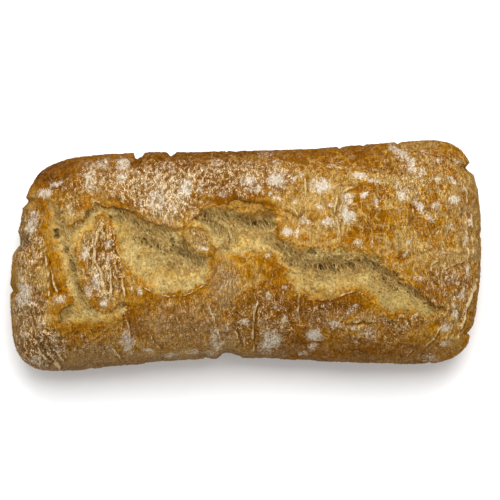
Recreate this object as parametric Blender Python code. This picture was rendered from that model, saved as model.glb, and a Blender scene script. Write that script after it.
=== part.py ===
"""Ciabatta roll: one solid bread roll with a flat underside, full sides and a torn top.

Metres, +Z up. +X runs along the roll and +Y across it. The origin lies on the table
under the middle of the roll, which rests on its underside.
"""

import math

import bmesh
import bpy
import numpy as np

NAME = "ciabatta_roll"

# Driving sizes of the roll.
LENGTH = 0.170
HEIGHT = 0.0448
GIRTH_HEIGHT = 0.0135
BASE_INSET = 0.0062

# Share of the half length, half width and rise at which the plan and the crown turn round.
END_SQUARENESS = 14.0
SIDE_SQUARENESS = 5.0
WORN_CORNER_SQUARENESS = 10.5
CROWN_FLATNESS = 0.52

# Plan outline: (x, y) along the two long sides, (y, x) along the two ends.
BACK_SIDE = ((-0.085, 0.0395), (-0.055, 0.0405), (-0.030, 0.0398), (0.015, 0.0386),
             (0.045, 0.0388), (0.085, 0.0404))
FRONT_SIDE = ((-0.085, -0.0372), (-0.065, -0.0365), (-0.030, -0.0347), (0.000, -0.0351),
              (0.030, -0.0379), (0.055, -0.0400), (0.085, -0.0418))
LEFT_END = ((-0.040, -0.0848), (-0.016, -0.0849), (0.003, -0.0836), (0.018, -0.0797),
            (0.040, -0.0762))
RIGHT_END = ((-0.040, 0.0796), (-0.027, 0.0812), (-0.010, 0.0838), (0.008, 0.0848),
             (0.025, 0.0846), (0.040, 0.0838))

# Dents that the rim took from the dough's folds: x, y, width, depth.
RIM_DENTS = ((-0.0365, 0.0400, 0.0024, 0.0032), (-0.0245, 0.0395, 0.0020, 0.0016),
             (-0.0085, -0.0350, 0.0040, 0.0022), (-0.0800, 0.0095, 0.0040, 0.0028),
             (-0.0760, 0.0250, 0.0024, 0.0016), (-0.0835, -0.0070, 0.0022, 0.0013),
             (0.0815, 0.0290, 0.0022, 0.0018), (0.0785, -0.0305, 0.0024, 0.0012))

# Tears in the crust: x, y and half width along each one, its back side on the left.
TEARS = {
    "left": ((-0.0690, 0.0240, 0.0018), (-0.0655, 0.0140, 0.0058), (-0.0642, 0.0030, 0.0052),
             (-0.0615, -0.0070, 0.0040), (-0.0610, -0.0150, 0.0050), (-0.0530, -0.0175, 0.0034),
             (-0.0420, -0.0150, 0.0018)),
    "middle": ((-0.0500, 0.0205, 0.0016), (-0.0435, 0.0125, 0.0066), (-0.0350, 0.0055, 0.0098),
               (-0.0260, 0.0015, 0.0112), (-0.0180, 0.0000, 0.0082), (-0.0120, 0.0010, 0.0022)),
    "upper": ((-0.0190, 0.0150, 0.0016), (-0.0120, 0.0125, 0.0070), (-0.0030, 0.0115, 0.0098),
              (0.0060, 0.0110, 0.0086), (0.0130, 0.0070, 0.0056), (0.0165, 0.0000, 0.0036)),
    "right": ((0.0145, -0.0010, 0.0030), (0.0210, -0.0040, 0.0078), (0.0300, -0.0055, 0.0094),
              (0.0400, -0.0060, 0.0074), (0.0480, -0.0110, 0.0098), (0.0560, -0.0150, 0.0074),
              (0.0640, -0.0200, 0.0048), (0.0720, -0.0220, 0.0012)),
}
TEAR_DEPTH = 0.0070
TEAR_DEPTH_TO_WIDTH = 0.85
TEAR_VALLEY = 0.28
LIP_RISE = 0.0014
LIP_REACH = 0.0042

# Slow swells of the crust: height, wavelength along X, wavelength along Y, phase.
SWELLS = ((0.0007, 0.071, 0.052, 0.6), (0.0005, 0.038, 0.031, 2.1), (0.0003, 0.023, 0.017, 4.4))

# Cells along X, Y and Z, and how strongly they crowd towards the rim.
CELLS = (82, 40, 5)
CROWDING = 1.30

CRUST = {"name": "crust", "color": (0.376, 0.205, 0.066, 1.0), "roughness": 0.82}
CRUMB = {"name": "crumb", "color": (0.515, 0.352, 0.128, 1.0), "roughness": 0.93}
CRUMB_SHOWS_FROM = 0.0009


def clear_scene():
    """Remove every object that the scene starts with."""
    for thing in list(bpy.data.objects):
        bpy.data.objects.remove(thing)


def make_collection(name):
    """Return a new collection, linked to the scene."""
    collection = bpy.data.collections.new(name)
    bpy.context.scene.collection.children.link(collection)
    return collection


def make_material(finish):
    """Return a Principled material with the finish's colour and roughness."""
    material = bpy.data.materials.new(finish["name"])
    material.use_nodes = True
    shader = material.node_tree.nodes["Principled BSDF"]
    shader.inputs["Base Color"].default_value = finish["color"]
    shader.inputs["Roughness"].default_value = finish["roughness"]
    shader.inputs["Metallic"].default_value = 0.0
    material.diffuse_color = finish["color"]
    return material


def curve_through(stations, at):
    """Follow (place, value) stations with a smooth curve, and read it at the given places."""
    places, values = np.array(stations).T
    slopes = np.gradient(values, places)
    at = np.clip(at, places[0], places[-1])
    left = np.clip(np.searchsorted(places, at) - 1, 0, len(places) - 2)
    gap = places[left + 1] - places[left]
    t = (at - places[left]) / gap
    rise = (values[left + 1] - values[left]) * t * t * (3 - 2 * t)
    bend = slopes[left] * t * (1 - t) ** 2 - slopes[left + 1] * t * t * (1 - t)
    return values[left] + rise + gap * bend


def smooth_step(low, high, value):
    """Ease from 0 at low to 1 at high."""
    t = np.clip((value - low) / (high - low), 0.0, 1.0)
    return t * t * (3 - 2 * t)


def block_of_cells(cells):
    """Return a cube from -1 to 1, cut into the given cells along X, Y and Z."""
    block = bmesh.new()
    bmesh.ops.create_cube(block, size=2.0)
    for axis, count in enumerate(cells):
        along = []
        for edge in block.edges:
            span = edge.verts[0].co - edge.verts[1].co
            if abs(span[axis]) > 1.0:
                along.append(edge)
        bmesh.ops.subdivide_edges(block, edges=along, cuts=count - 1, use_grid_fill=True)
    return block


def crowd_to_rim(fraction):
    """Move evenly spaced fractions outwards, so that cells are finest at the rim."""
    return np.sign(fraction) * (1 - (1 - np.abs(fraction)) ** CROWDING)


def round_plan(across, along):
    """Pull the square of cells onto the rounded plan.

    Returns the fractions of the half length and half width, and the rim share, which
    is 0 at the middle of the roll and 1 on its outline.
    """
    far = np.maximum(np.maximum(np.abs(across), np.abs(along)), 1e-9)
    worn = smooth_step(0.0, 0.6, along / far) * (across < 0)
    end_power = END_SQUARENESS + (WORN_CORNER_SQUARENESS - END_SQUARENESS) * worn
    end_reach = np.abs(across) / far
    side_reach = np.abs(along) / far
    pull = np.ones_like(far)
    for _ in range(14):
        end_part = (pull * end_reach) ** end_power
        side_part = (pull * side_reach) ** SIDE_SQUARENESS
        slope = (end_power * end_part + SIDE_SQUARENESS * side_part) / pull
        pull -= (end_part + side_part - 1) / slope
    u = across * pull
    v = along * pull
    rim = np.abs(u) ** end_power + np.abs(v) ** SIDE_SQUARENESS
    return u, v, np.clip(rim, 0.0, 1.0)


def place_in_plan(u, v):
    """Turn fractions of the half length and half width into x and y inside the outline."""
    rough_x = u * LENGTH / 2
    side = np.where(v > 0, curve_through(BACK_SIDE, rough_x), -curve_through(FRONT_SIDE, rough_x))
    y = v * side
    end = np.where(u > 0, curve_through(RIGHT_END, y), -curve_through(LEFT_END, y))
    return u * end, y


def follow_tear(stations, x, y, samples=90):
    """Measure points against a tear.

    Returns each point's distance to the tear's middle line, positive on its back side,
    and the tear's half width there.
    """
    stations = np.array(stations)
    steps = np.linspace(0, len(stations) - 1, samples)
    knots = np.arange(len(stations))
    path = [curve_through(np.column_stack((knots, stations[:, k])), steps) for k in range(3)]
    path_x, path_y, path_width = path
    away_x = x[:, None] - path_x
    away_y = y[:, None] - path_y
    nearest = np.argmin(away_x ** 2 + away_y ** 2, axis=1)
    rows = np.arange(len(x))
    away_x = away_x[rows, nearest]
    away_y = away_y[rows, nearest]
    heading_x = np.gradient(path_x)[nearest]
    heading_y = np.gradient(path_y)[nearest]
    back_side = np.sign(heading_x * away_y - heading_y * away_x)
    return np.hypot(away_x, away_y) * back_side, path_width[nearest]


def tear_relief(x, y):
    """Return how deep the tears cut at each point, and how far their lips stand up."""
    depth = np.zeros_like(x)
    lip = np.zeros_like(x)
    for stations in TEARS.values():
        offset, width = follow_tear(stations, x, y)
        across = offset / width
        to_valley = np.where(across > TEAR_VALLEY, (across - TEAR_VALLEY) / (1 - TEAR_VALLEY),
                             (TEAR_VALLEY - across) / (1 + TEAR_VALLEY))
        full_depth = np.minimum(TEAR_DEPTH, TEAR_DEPTH_TO_WIDTH * width)
        depth = np.maximum(depth, full_depth * np.clip(1 - to_valley ** 2, 0, 1) ** 1.5)
        beyond = (np.abs(offset) - width) / LIP_REACH
        strength = np.where(offset > 0, 1.0, 0.45) * full_depth / TEAR_DEPTH
        lip = np.maximum(lip, LIP_RISE * strength * np.exp(-beyond ** 2))
    return depth, lip


def swell_height(x, y):
    """Return the slow unevenness of the crust."""
    height = np.zeros_like(x)
    for rise, wave_x, wave_y, phase in SWELLS:
        height += rise * np.sin(2 * math.pi * x / wave_x + phase) * np.cos(2 * math.pi * y / wave_y + phase)
    return height


def push_in_dents(x, y, z):
    """Push the rim inwards at each dent, and leave the underside alone."""
    held = smooth_step(0.1 * GIRTH_HEIGHT, GIRTH_HEIGHT, z)
    for dent_x, dent_y, width, depth in RIM_DENTS:
        push = depth * held * np.exp(-((x - dent_x) ** 2 + (y - dent_y) ** 2) / width ** 2)
        if abs(dent_x) > 0.42 * LENGTH:
            x = x - math.copysign(1.0, dent_x) * push
        else:
            y = y - math.copysign(1.0, dent_y) * push
    return x, y


def roll_surface(cells):
    """Map points of the -1 to 1 block onto the roll.

    Returns their positions, and how deep a tear cuts at each of them.
    """
    across = crowd_to_rim(cells[:, 0])
    along = crowd_to_rim(cells[:, 1])
    u, v, rim = round_plan(across, along)
    turn = (1 - cells[:, 2]) / 2 * math.pi / 2
    on_top = cells[:, 2] > 1 - 1e-6
    tuck = BASE_INSET * (1 - np.cos(turn))
    x, y = place_in_plan(u, v)
    x = x * (1 - tuck / (LENGTH / 2))
    y = y * (1 - tuck / 0.039)
    crown = np.sqrt(np.clip(1 - rim ** CROWN_FLATNESS, 0, 1))
    depth, lip = tear_relief(x, y)
    inland = smooth_step(0.0, 0.55, crown)
    depth = np.where(on_top, depth * inland, 0.0)
    relief = (swell_height(x, y) + lip) * inland - depth
    top = GIRTH_HEIGHT + (HEIGHT - GIRTH_HEIGHT) * crown + relief
    z = np.where(on_top, top, GIRTH_HEIGHT * (1 - np.sin(turn)))
    x, y = push_in_dents(x, y, z)
    return np.column_stack((x, y, z)), depth


def centre_over_origin(places):
    """Slide the places so that the middle of their box is over the origin."""
    middle = (places.min(axis=0) + places.max(axis=0)) / 2
    middle[2] = 0.0
    return places - middle


def make_roll(collection):
    """Build the roll as one closed body, with crumb showing in its tears."""
    block = block_of_cells(CELLS)
    cells = np.array([vert.co for vert in block.verts])
    places, depth = roll_surface(cells)
    places = centre_over_origin(places)
    for vert, place in zip(block.verts, places):
        vert.co = place
    block.verts.index_update()
    for face in block.faces:
        cut = sum(depth[vert.index] for vert in face.verts) / len(face.verts)
        face.material_index = 1 if cut > CRUMB_SHOWS_FROM else 0
    bmesh.ops.triangulate(block, faces=block.faces)
    bmesh.ops.recalc_face_normals(block, faces=block.faces)
    mesh = bpy.data.meshes.new(NAME)
    block.to_mesh(mesh)
    block.free()
    mesh.shade_smooth()
    mesh.set_sharp_from_angle(angle=math.radians(50))
    roll = bpy.data.objects.new(NAME, mesh)
    for finish in (CRUST, CRUMB):
        mesh.materials.append(make_material(finish))
    collection.objects.link(roll)
    return roll


def main():
    """Build the whole part."""
    clear_scene()
    make_roll(make_collection(NAME))


main()
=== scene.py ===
"""Looks of a ciabatta roll: a floured, wrinkled crust and the torn crumb that it opens on.

The crust is one closed skin of fine cells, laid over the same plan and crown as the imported
solid, with pockets where it tore. The crumb is one closed body that fills those pockets.
Sizes are in millimetres until a mesh is written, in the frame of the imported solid.
Places of marks on the top are as seen by the camera, straight from above.
"""

import logging
import math
from dataclasses import dataclass, field
from itertools import product
from typing import Callable, Iterator, Sequence

import bmesh
import bpy
import numpy as np
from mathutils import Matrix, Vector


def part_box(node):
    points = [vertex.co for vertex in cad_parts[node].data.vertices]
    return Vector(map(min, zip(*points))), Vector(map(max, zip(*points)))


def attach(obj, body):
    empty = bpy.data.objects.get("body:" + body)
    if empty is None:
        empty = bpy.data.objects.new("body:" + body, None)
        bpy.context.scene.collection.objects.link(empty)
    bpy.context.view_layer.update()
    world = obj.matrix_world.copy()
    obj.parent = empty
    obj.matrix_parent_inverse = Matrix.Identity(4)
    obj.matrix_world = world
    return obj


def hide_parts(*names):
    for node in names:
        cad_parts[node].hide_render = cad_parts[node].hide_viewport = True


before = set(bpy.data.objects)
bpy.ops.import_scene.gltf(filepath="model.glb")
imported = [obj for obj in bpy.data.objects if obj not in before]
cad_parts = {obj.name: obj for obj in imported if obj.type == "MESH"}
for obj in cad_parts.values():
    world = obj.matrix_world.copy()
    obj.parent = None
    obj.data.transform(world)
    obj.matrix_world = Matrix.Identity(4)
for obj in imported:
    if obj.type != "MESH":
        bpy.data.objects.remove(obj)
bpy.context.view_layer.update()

LOG = logging.getLogger("ciabatta")
NODE = "ciabatta_roll"
MM = 0.001
TINY = 1e-9
GRID_TILE = 64
Array = np.ndarray
Stations = Sequence[Sequence[float]]
Zone = tuple[float, float]
Pair = tuple[float, float]
Triple = tuple[float, float, float]
Layers = tuple[float, int, float]
Colour = tuple[float, float, float, float]
Socket = bpy.types.NodeSocket
Material = bpy.types.Material
Mesh = bpy.types.Mesh
Piece = bpy.types.Object


# ---------------------------------------------------------------- shared arithmetic


def smooth_step(low: float, high: float, value: Array) -> Array:
    """Ease from 0 at low to 1 at high.

    Args:
        low: Where the ease starts.
        high: Where it is complete; it may lie below low.
        value: What is eased.

    Returns:
        The eased shares, from 0 to 1.
    """
    t = np.clip((value - low) / (high - low), 0.0, 1.0)
    return t * t * (3 - 2 * t)


def curve_through(stations: Stations, at: Array) -> Array:
    """Follow (place, value) stations with a smooth curve.

    Args:
        stations: The stations, by rising place.
        at: Places to read the curve at.

    Returns:
        The curve's values there, held beyond the first and last station.
    """
    places, values = np.array(stations, dtype=float).T
    slopes = np.gradient(values, places)
    at = np.clip(at, places[0], places[-1])
    left = np.clip(np.searchsorted(places, at) - 1, 0, len(places) - 2)
    gap = places[left + 1] - places[left]
    t = (at - places[left]) / gap
    rise = (values[left + 1] - values[left]) * t * t * (3 - 2 * t)
    bend = slopes[left] * t * (1 - t) ** 2 - slopes[left + 1] * t * t * (1 - t)
    return values[left] + rise + gap * bend


def distance_to_path(x: Array, y: Array, path: Stations) -> Array:
    """Measure the distance of points to an open path.

    Args:
        x: Places along the roll.
        y: Places across it.
        path: The path's corners, as (x, y).

    Returns:
        The distance of each point to the nearest stretch of the path.
    """
    nearest = np.full(x.shape, np.inf)
    for (ax, ay), (bx, by) in zip(path[:-1], path[1:]):
        run_x, run_y = bx - ax, by - ay
        t = ((x - ax) * run_x + (y - ay) * run_y) / (run_x ** 2 + run_y ** 2)
        t = np.clip(t, 0, 1)
        nearest = np.minimum(nearest, np.hypot(x - ax - t * run_x, y - ay - t * run_y))
    return nearest


def ridge(distance: Array, width: float) -> Array:
    """Return a soft ridge, 1 on the line and fading over the width."""
    return np.exp(-(distance / width) ** 2)


def within(x: Array, zone: Zone) -> Array:
    """Return how fully places lie in a zone along the roll, given as its middle and reach."""
    return ridge(x - zone[0], zone[1])


def level_points(x: Array, y: Array, height: float = 0.0) -> Array:
    """Stack places into points at one height, a row each."""
    return np.column_stack((x, y, np.full_like(x, height)))


def oval_reach(x: Array, y: Array, oval: Sequence[float]) -> Array:
    """Measure points against a turned oval.

    Args:
        x: Places along the roll.
        y: Places across it.
        oval: Its middle's x and y, half length, half width, and turn in degrees.

    Returns:
        0 in its middle and 1 on its edge.
    """
    mid_x, mid_y, half_long, half_short, turn = oval
    cosine, sine = math.cos(math.radians(turn)), math.sin(math.radians(turn))
    along = ((x - mid_x) * cosine + (y - mid_y) * sine) / half_long
    across = ((y - mid_y) * cosine - (x - mid_x) * sine) / half_short
    return np.hypot(along, across)


def nearby_cells(x: Array, y: Array, spacing: float, seed: int, values: int) -> Iterator[list[Array]]:
    """Visit the nine cells of a jittered grid round each point.

    Args:
        x: Places along the roll.
        y: Places across it.
        spacing: Size of a cell.
        seed: Seed of the grid.
        values: How many random values a cell has besides its own place.

    Yields:
        How far the points lie from each cell's own place, and the cell's values.
    """
    table = np.random.default_rng(seed).random((2 + values, GRID_TILE, GRID_TILE))
    column = np.floor(x / spacing).astype(int)
    row = np.floor(y / spacing).astype(int)
    for step_x, step_y in product((-1, 0, 1), repeat=2):
        i, j = column + step_x, row + step_y
        jitter_x, jitter_y, *rest = table[:, i % GRID_TILE, j % GRID_TILE]
        yield [x - (i + jitter_x) * spacing, y - (j + jitter_y) * spacing, *rest]


def crested(value: Array) -> Array:
    """Turn a noise's value into sharp crests, 1 where it is nothing."""
    return np.clip(1 - np.abs(value) * 2, 0, 1) ** 2


class Noise:
    """Seeded gradient noise, read at points in space."""

    lattice: int = 256
    height: float = 1.6
    layer_shift: float = 31.7
    fold_shift: float = 11.3

    def __init__(self, seed: int) -> None:
        """Draw the lattice of slopes.

        Args:
            seed: Seed of the draw.
        """
        dice = np.random.default_rng(seed)
        self.order = np.tile(dice.permutation(self.lattice), 3)
        slopes = dice.normal(size=(self.lattice, 3))
        self.slopes = slopes / np.linalg.norm(slopes, axis=1, keepdims=True)

    def once(self, points: Array) -> Array:
        """Read one octave.

        Args:
            points: Points, a row each, with one lattice cell a unit.

        Returns:
            The noise there, about -1 to 1.
        """
        cell = np.floor(points).astype(int)
        part = points - cell
        ease = part ** 3 * (part * (part * 6 - 15) + 10)
        total = np.zeros(len(points))
        for corner in product((0, 1), repeat=3):
            step = np.array(corner)
            x, y, z = ((cell + step) % self.lattice).T
            slope = self.slopes[self.order[self.order[self.order[x] + y] + z]]
            weight = np.prod(np.where(step, ease, 1 - ease), axis=1)
            total += weight * np.einsum("ij,ij->i", slope, part - step)
        return total * self.height

    def layered(self, points: Array, wave: float, octaves: int = 3, gain: float = 0.5) -> Array:
        """Read several octaves, each half as coarse as the last, about -1 to 1."""
        return self.summed(points, wave, octaves, gain, self.layer_shift, lambda value: value)

    def folds(self, points: Array, wave: float, octaves: int = 2) -> Array:
        """Read sharp-crested folds, from 0 in the furrows to 1 on the crests."""
        return self.summed(points, wave, octaves, 0.5, self.fold_shift, crested)

    def summed(self, points: Array, wave: float, octaves: int, gain: float, shift: float,
               form: Callable[[Array], Array]) -> Array:
        """Sum octaves of the noise, each turned into a form first.

        Args:
            points: Points, a row each.
            wave: Size of the coarsest features.
            octaves: How many layers, each half as coarse as the last.
            gain: Height of each layer against the last.
            shift: How far apart the layers are read.
            form: What a layer's value is turned into.

        Returns:
            The mean, weighted by the layers' heights.
        """
        total = np.zeros(len(points))
        size, whole = 1.0, 0.0
        for octave in range(octaves):
            total += size * form(self.once(points * (2 ** octave / wave) + shift * octave))
            whole += size
            size *= gain
        return total / whole


@dataclass(frozen=True)
class Pores:
    """Round and oval pits, one in each cell of a jittered grid."""

    spacing: float
    least: float
    most: float
    seed: int
    share: float = 1.0
    longer: float = 0.8

    def at(self, x: Array, y: Array) -> Array:
        """Measure how deep points lie in a pit.

        Args:
            x: Places along the roll.
            y: Places across it.

        Returns:
            0 outside the pits, up to 1 in the middle of one.
        """
        depth = np.zeros_like(x)
        for away_x, away_y, size, turn, oval, luck in nearby_cells(x, y, self.spacing, self.seed, 4):
            cosine, sine = np.cos(turn * math.pi), np.sin(turn * math.pi)
            along = away_x * cosine + away_y * sine
            across = away_y * cosine - away_x * sine
            radius = self.least + (self.most - self.least) * size ** 2
            reach = np.hypot(along / (1 + self.longer * oval), across) / radius
            pit = np.clip(1 - reach ** 2, 0, 1) * (luck < self.share)
            depth = np.maximum(depth, pit)
        return depth


@dataclass(frozen=True)
class Net:
    """Walls between the bubbles of a dough, one bubble in each cell of a jittered grid."""

    spacing: float
    seed: int

    def at(self, x: Array, y: Array) -> Array:
        """Measure how far points lie from a wall.

        Args:
            x: Places along the roll.
            y: Places across it.

        Returns:
            0 on a wall, and more inside a bubble, in shares of the spacing.
        """
        first, second = np.full_like(x, np.inf), np.full_like(x, np.inf)
        for away_x, away_y in nearby_cells(x, y, self.spacing, self.seed, 0):
            away = np.hypot(away_x, away_y) / self.spacing
            second = np.minimum(second, np.maximum(first, away))
            first = np.minimum(first, away)
        return second - first


# ---------------------------------------------------------------- the roll's form


@dataclass
class Lens:
    """The camera's place over the roll, and how it sees points nearer than the outline."""

    over_x: float = 1.87
    over_y: float = 3.43
    turn_deg: float = -3.0
    outline_height: float = 13.5
    view_width: float = 178.8
    sensor: float = 36.0
    focal: float = 400.0

    @property
    def distance(self) -> float:
        """Distance of the lens over the roll's outline."""
        return self.view_width * self.focal / self.sensor

    def nearer(self, z: Array) -> Array:
        """Return how much larger things at a height appear than on the plane of the outline."""
        return self.distance / (self.distance - (z - self.outline_height))

    def seen(self, x: Array, y: Array, z: Array) -> tuple[Array, Array]:
        """Turn true places into places as seen, on the plane of the outline."""
        nearer = self.nearer(z)
        return self.over_x + (x - self.over_x) * nearer, self.over_y + (y - self.over_y) * nearer

    def true(self, x: Array, y: Array, z: Array) -> tuple[Array, Array]:
        """Turn places as seen into true ones."""
        nearer = self.nearer(z)
        return self.over_x + (x - self.over_x) / nearer, self.over_y + (y - self.over_y) / nearer


@dataclass
class Loaf:
    """The roll's plan, crown and tucked sides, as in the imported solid."""

    half_length: float = 85.0
    half_width: float = 39.0
    height: float = 44.8
    girth: float = 13.5
    base_inset: float = 6.2
    end_squareness: float = 14.0
    side_squareness: float = 5.0
    worn_squareness: float = 10.5
    crown_flatness: float = 0.52
    back_side: Stations = (
        (-85, 39.5), (-55, 40.5), (-30, 39.8), (15, 38.6), (45, 38.8), (85, 40.4))
    front_side: Stations = (
        (-85, -37.2), (-65, -36.5), (-30, -34.7), (0, -35.1), (30, -37.9), (55, -40), (85, -41.8))
    left_end: Stations = (
        (-40, -84.8), (-16, -84.9), (3, -83.6), (18, -79.7), (40, -76.2))
    right_end: Stations = (
        (-40, 79.6), (-27, 81.2), (-10, 83.8), (8, 84.8), (25, 84.2), (40, 82.6))
    dents: Stations = (
        (-37.2, 39.8, 0.7, 3.4, 2.9), (-24.6, 39.5, 1.6, 2.2, 1.5), (-8.8, -35, 3, 6.2, 2.7),
        (-80, 9.5, 3.4, 5, 2.8), (-76, 25, 2.4, 1.2, 1.7), (-83.5, -7, 0.8, 2.4, 1.5),
        (82.5, 28.8, 2.8, 1.6, 2.3), (78.5, -30.5, 1, 2.6, 1.5), (35.6, 38.8, 0.6, 1.6, 0.9),
        (56.6, 39, 0.6, 2, 0.8), (-1, 39.2, 1.5, 2, 0.3), (83.8, 4, 0.6, 2, 0.5), (44, 38.8, 0.5, 1.6, 0.4),
        (-57, -36, 2, 1, 0.5), (-16, -34.8, 0.8, 2, 0.7), (64, -40.6, 2, 0.8, 0.5))
    dent_reach: float = 3.6
    dent_power: float = 0.8
    dent_foot: float = 0.1
    inland_crown: float = 0.55
    worn_zone: float = 0.6
    end_zone: float = 0.84
    solve_steps: int = 14
    arc_samples: int = 4000
    swells: Stations = (
        (0.7, 71, 52, 0.6), (0.5, 38, 31, 2.1), (0.3, 23, 17, 4.4))

    def round_plan(self, across: Array, along: Array) -> tuple[Array, Array, Array]:
        """Pull the square of cells onto the rounded plan.

        Args:
            across: Share of the half length, -1 to 1.
            along: Share of the half width, -1 to 1.

        Returns:
            Both shares inside the rounded plan, and the rim share: 0 at the middle of
            the roll and 1 on its outline.
        """
        along = along + TINY
        far = np.maximum(np.abs(across), np.abs(along))
        end_reach, side_reach = np.abs(across) / far, np.abs(along) / far
        end_power = self.end_power(across / far, along / far)
        pull = np.ones_like(far)
        for _ in range(self.solve_steps):
            end_part = (pull * end_reach) ** end_power
            side_part = (pull * side_reach) ** self.side_squareness
            slope = (end_power * end_part + self.side_squareness * side_part) / pull
            pull -= (end_part + side_part - 1) / slope
        u, v = across * pull, along * pull
        rim = np.abs(u) ** end_power + np.abs(v) ** self.side_squareness
        return u, v, np.clip(rim, 0, 1)

    def end_power(self, across: Array, along: Array) -> Array:
        """Return how square the corners are, the back left one being worn rounder."""
        worn = smooth_step(0, self.worn_zone, along) * (across < 0)
        return self.end_squareness + (self.worn_squareness - self.end_squareness) * worn

    def side_at(self, x: Array, y: Array) -> Array:
        """Return the roll's half width at x, on the side that y is on."""
        return np.where(y > 0, curve_through(self.back_side, x), -curve_through(self.front_side, x))

    def end_at(self, x: Array, y: Array) -> Array:
        """Return the roll's half length at y, at the end that x is at."""
        return np.where(x > 0, curve_through(self.right_end, y), -curve_through(self.left_end, y))

    def place(self, u: Array, v: Array) -> tuple[Array, Array]:
        """Turn shares of the half length and half width into x and y."""
        y = v * self.side_at(u * self.half_length, v)
        return u * self.end_at(u, y), y

    def rim_at(self, x: Array, y: Array) -> Array:
        """Find how far out points inside the outline lie, the inverse of place.

        Args:
            x: Places along the roll.
            y: Places across it.

        Returns:
            Their rim share: 0 at the middle of the roll and 1 on its outline.
        """
        u, v = x / self.end_at(x, y), y / self.side_at(x, y)
        far = np.maximum(np.maximum(np.abs(u), np.abs(v)), TINY)
        rim = np.abs(u) ** self.end_power(u / far, v / far) + np.abs(v) ** self.side_squareness
        return np.clip(rim, 0, 1)

    def gap(self, x: Array, y: Array) -> Array:
        """Return how far inside the outline points lie, straight along or across the roll."""
        return np.minimum(self.end_at(x, y) - np.abs(x), self.side_at(x, y) - np.abs(y))

    def crown(self, rim: Array) -> Array:
        """Return the share of the crown's rise at a rim share."""
        return np.sqrt(np.clip(1 - rim ** self.crown_flatness, 0, 1))

    def inland(self, rim: Array) -> Array:
        """Return how fully the top's swells and tears show, none of them at the rim."""
        return smooth_step(0, self.inland_crown, self.crown(rim))

    def level(self, x: Array, y: Array, rim: Array) -> Array:
        """Work out the height of the whole crust, before it tore.

        Args:
            x: Places along the roll.
            y: Places across it.
            rim: Their rim share.

        Returns:
            The heights.
        """
        swell = np.zeros_like(x)
        for rise, wave_x, wave_y, phase in self.swells:
            along, across = 2 * math.pi * x / wave_x + phase, 2 * math.pi * y / wave_y + phase
            swell += rise * np.sin(along) * np.cos(across)
        return self.girth + (self.height - self.girth) * self.crown(rim) + swell * self.inland(rim)

    def dented(self, x: Array, y: Array, z: Array) -> tuple[Array, Array]:
        """Push the rim inwards at each dent, and leave the underside alone.

        Args:
            x: Places along the roll.
            y: Places across it.
            z: Their heights.

        Returns:
            The places along and across the dented roll.
        """
        held = smooth_step(self.dent_foot * self.girth, self.girth, z)
        for dent_x, dent_y, before, after, depth in self.dents:
            at_end = abs(dent_x) > self.end_zone * self.half_length
            run, inward = (y - dent_y, x - dent_x) if at_end else (x - dent_x, y - dent_y)
            notch = np.clip(1 - np.where(run < 0, -run / before, run / after), 0, 1)
            push = depth * held * notch ** self.dent_power * ridge(inward, self.dent_reach)
            if at_end:
                x = x - math.copysign(1, dent_x) * push
            else:
                y = y - math.copysign(1, dent_y) * push
        return x, y

    def even_steps(self, rise_from: Callable[[Array], Array], reach: float, count: int) -> Array:
        """Space cells evenly along the arc of a section.

        Args:
            rise_from: Height of the section at a share of its half span.
            reach: Half span of the section.
            count: Number of cells over the whole span.

        Returns:
            The shares of the half span at the cells' ends, -1 to 1.
        """
        share = 1 - np.linspace(1, 0, self.arc_samples) ** 2
        rise = rise_from(share)
        steps = np.hypot(np.diff(share) * reach, np.diff(rise))
        arc = np.concatenate(([0], np.cumsum(steps)))
        wanted = np.abs(np.linspace(-1, 1, count + 1)) * arc[-1]
        return np.sign(np.linspace(-1, 1, count + 1)) * np.interp(wanted, arc, share)


@dataclass
class TearField:
    """Where points lie against the torn openings."""

    edge: Array
    share: Array
    span: Array
    lip: Array


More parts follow.
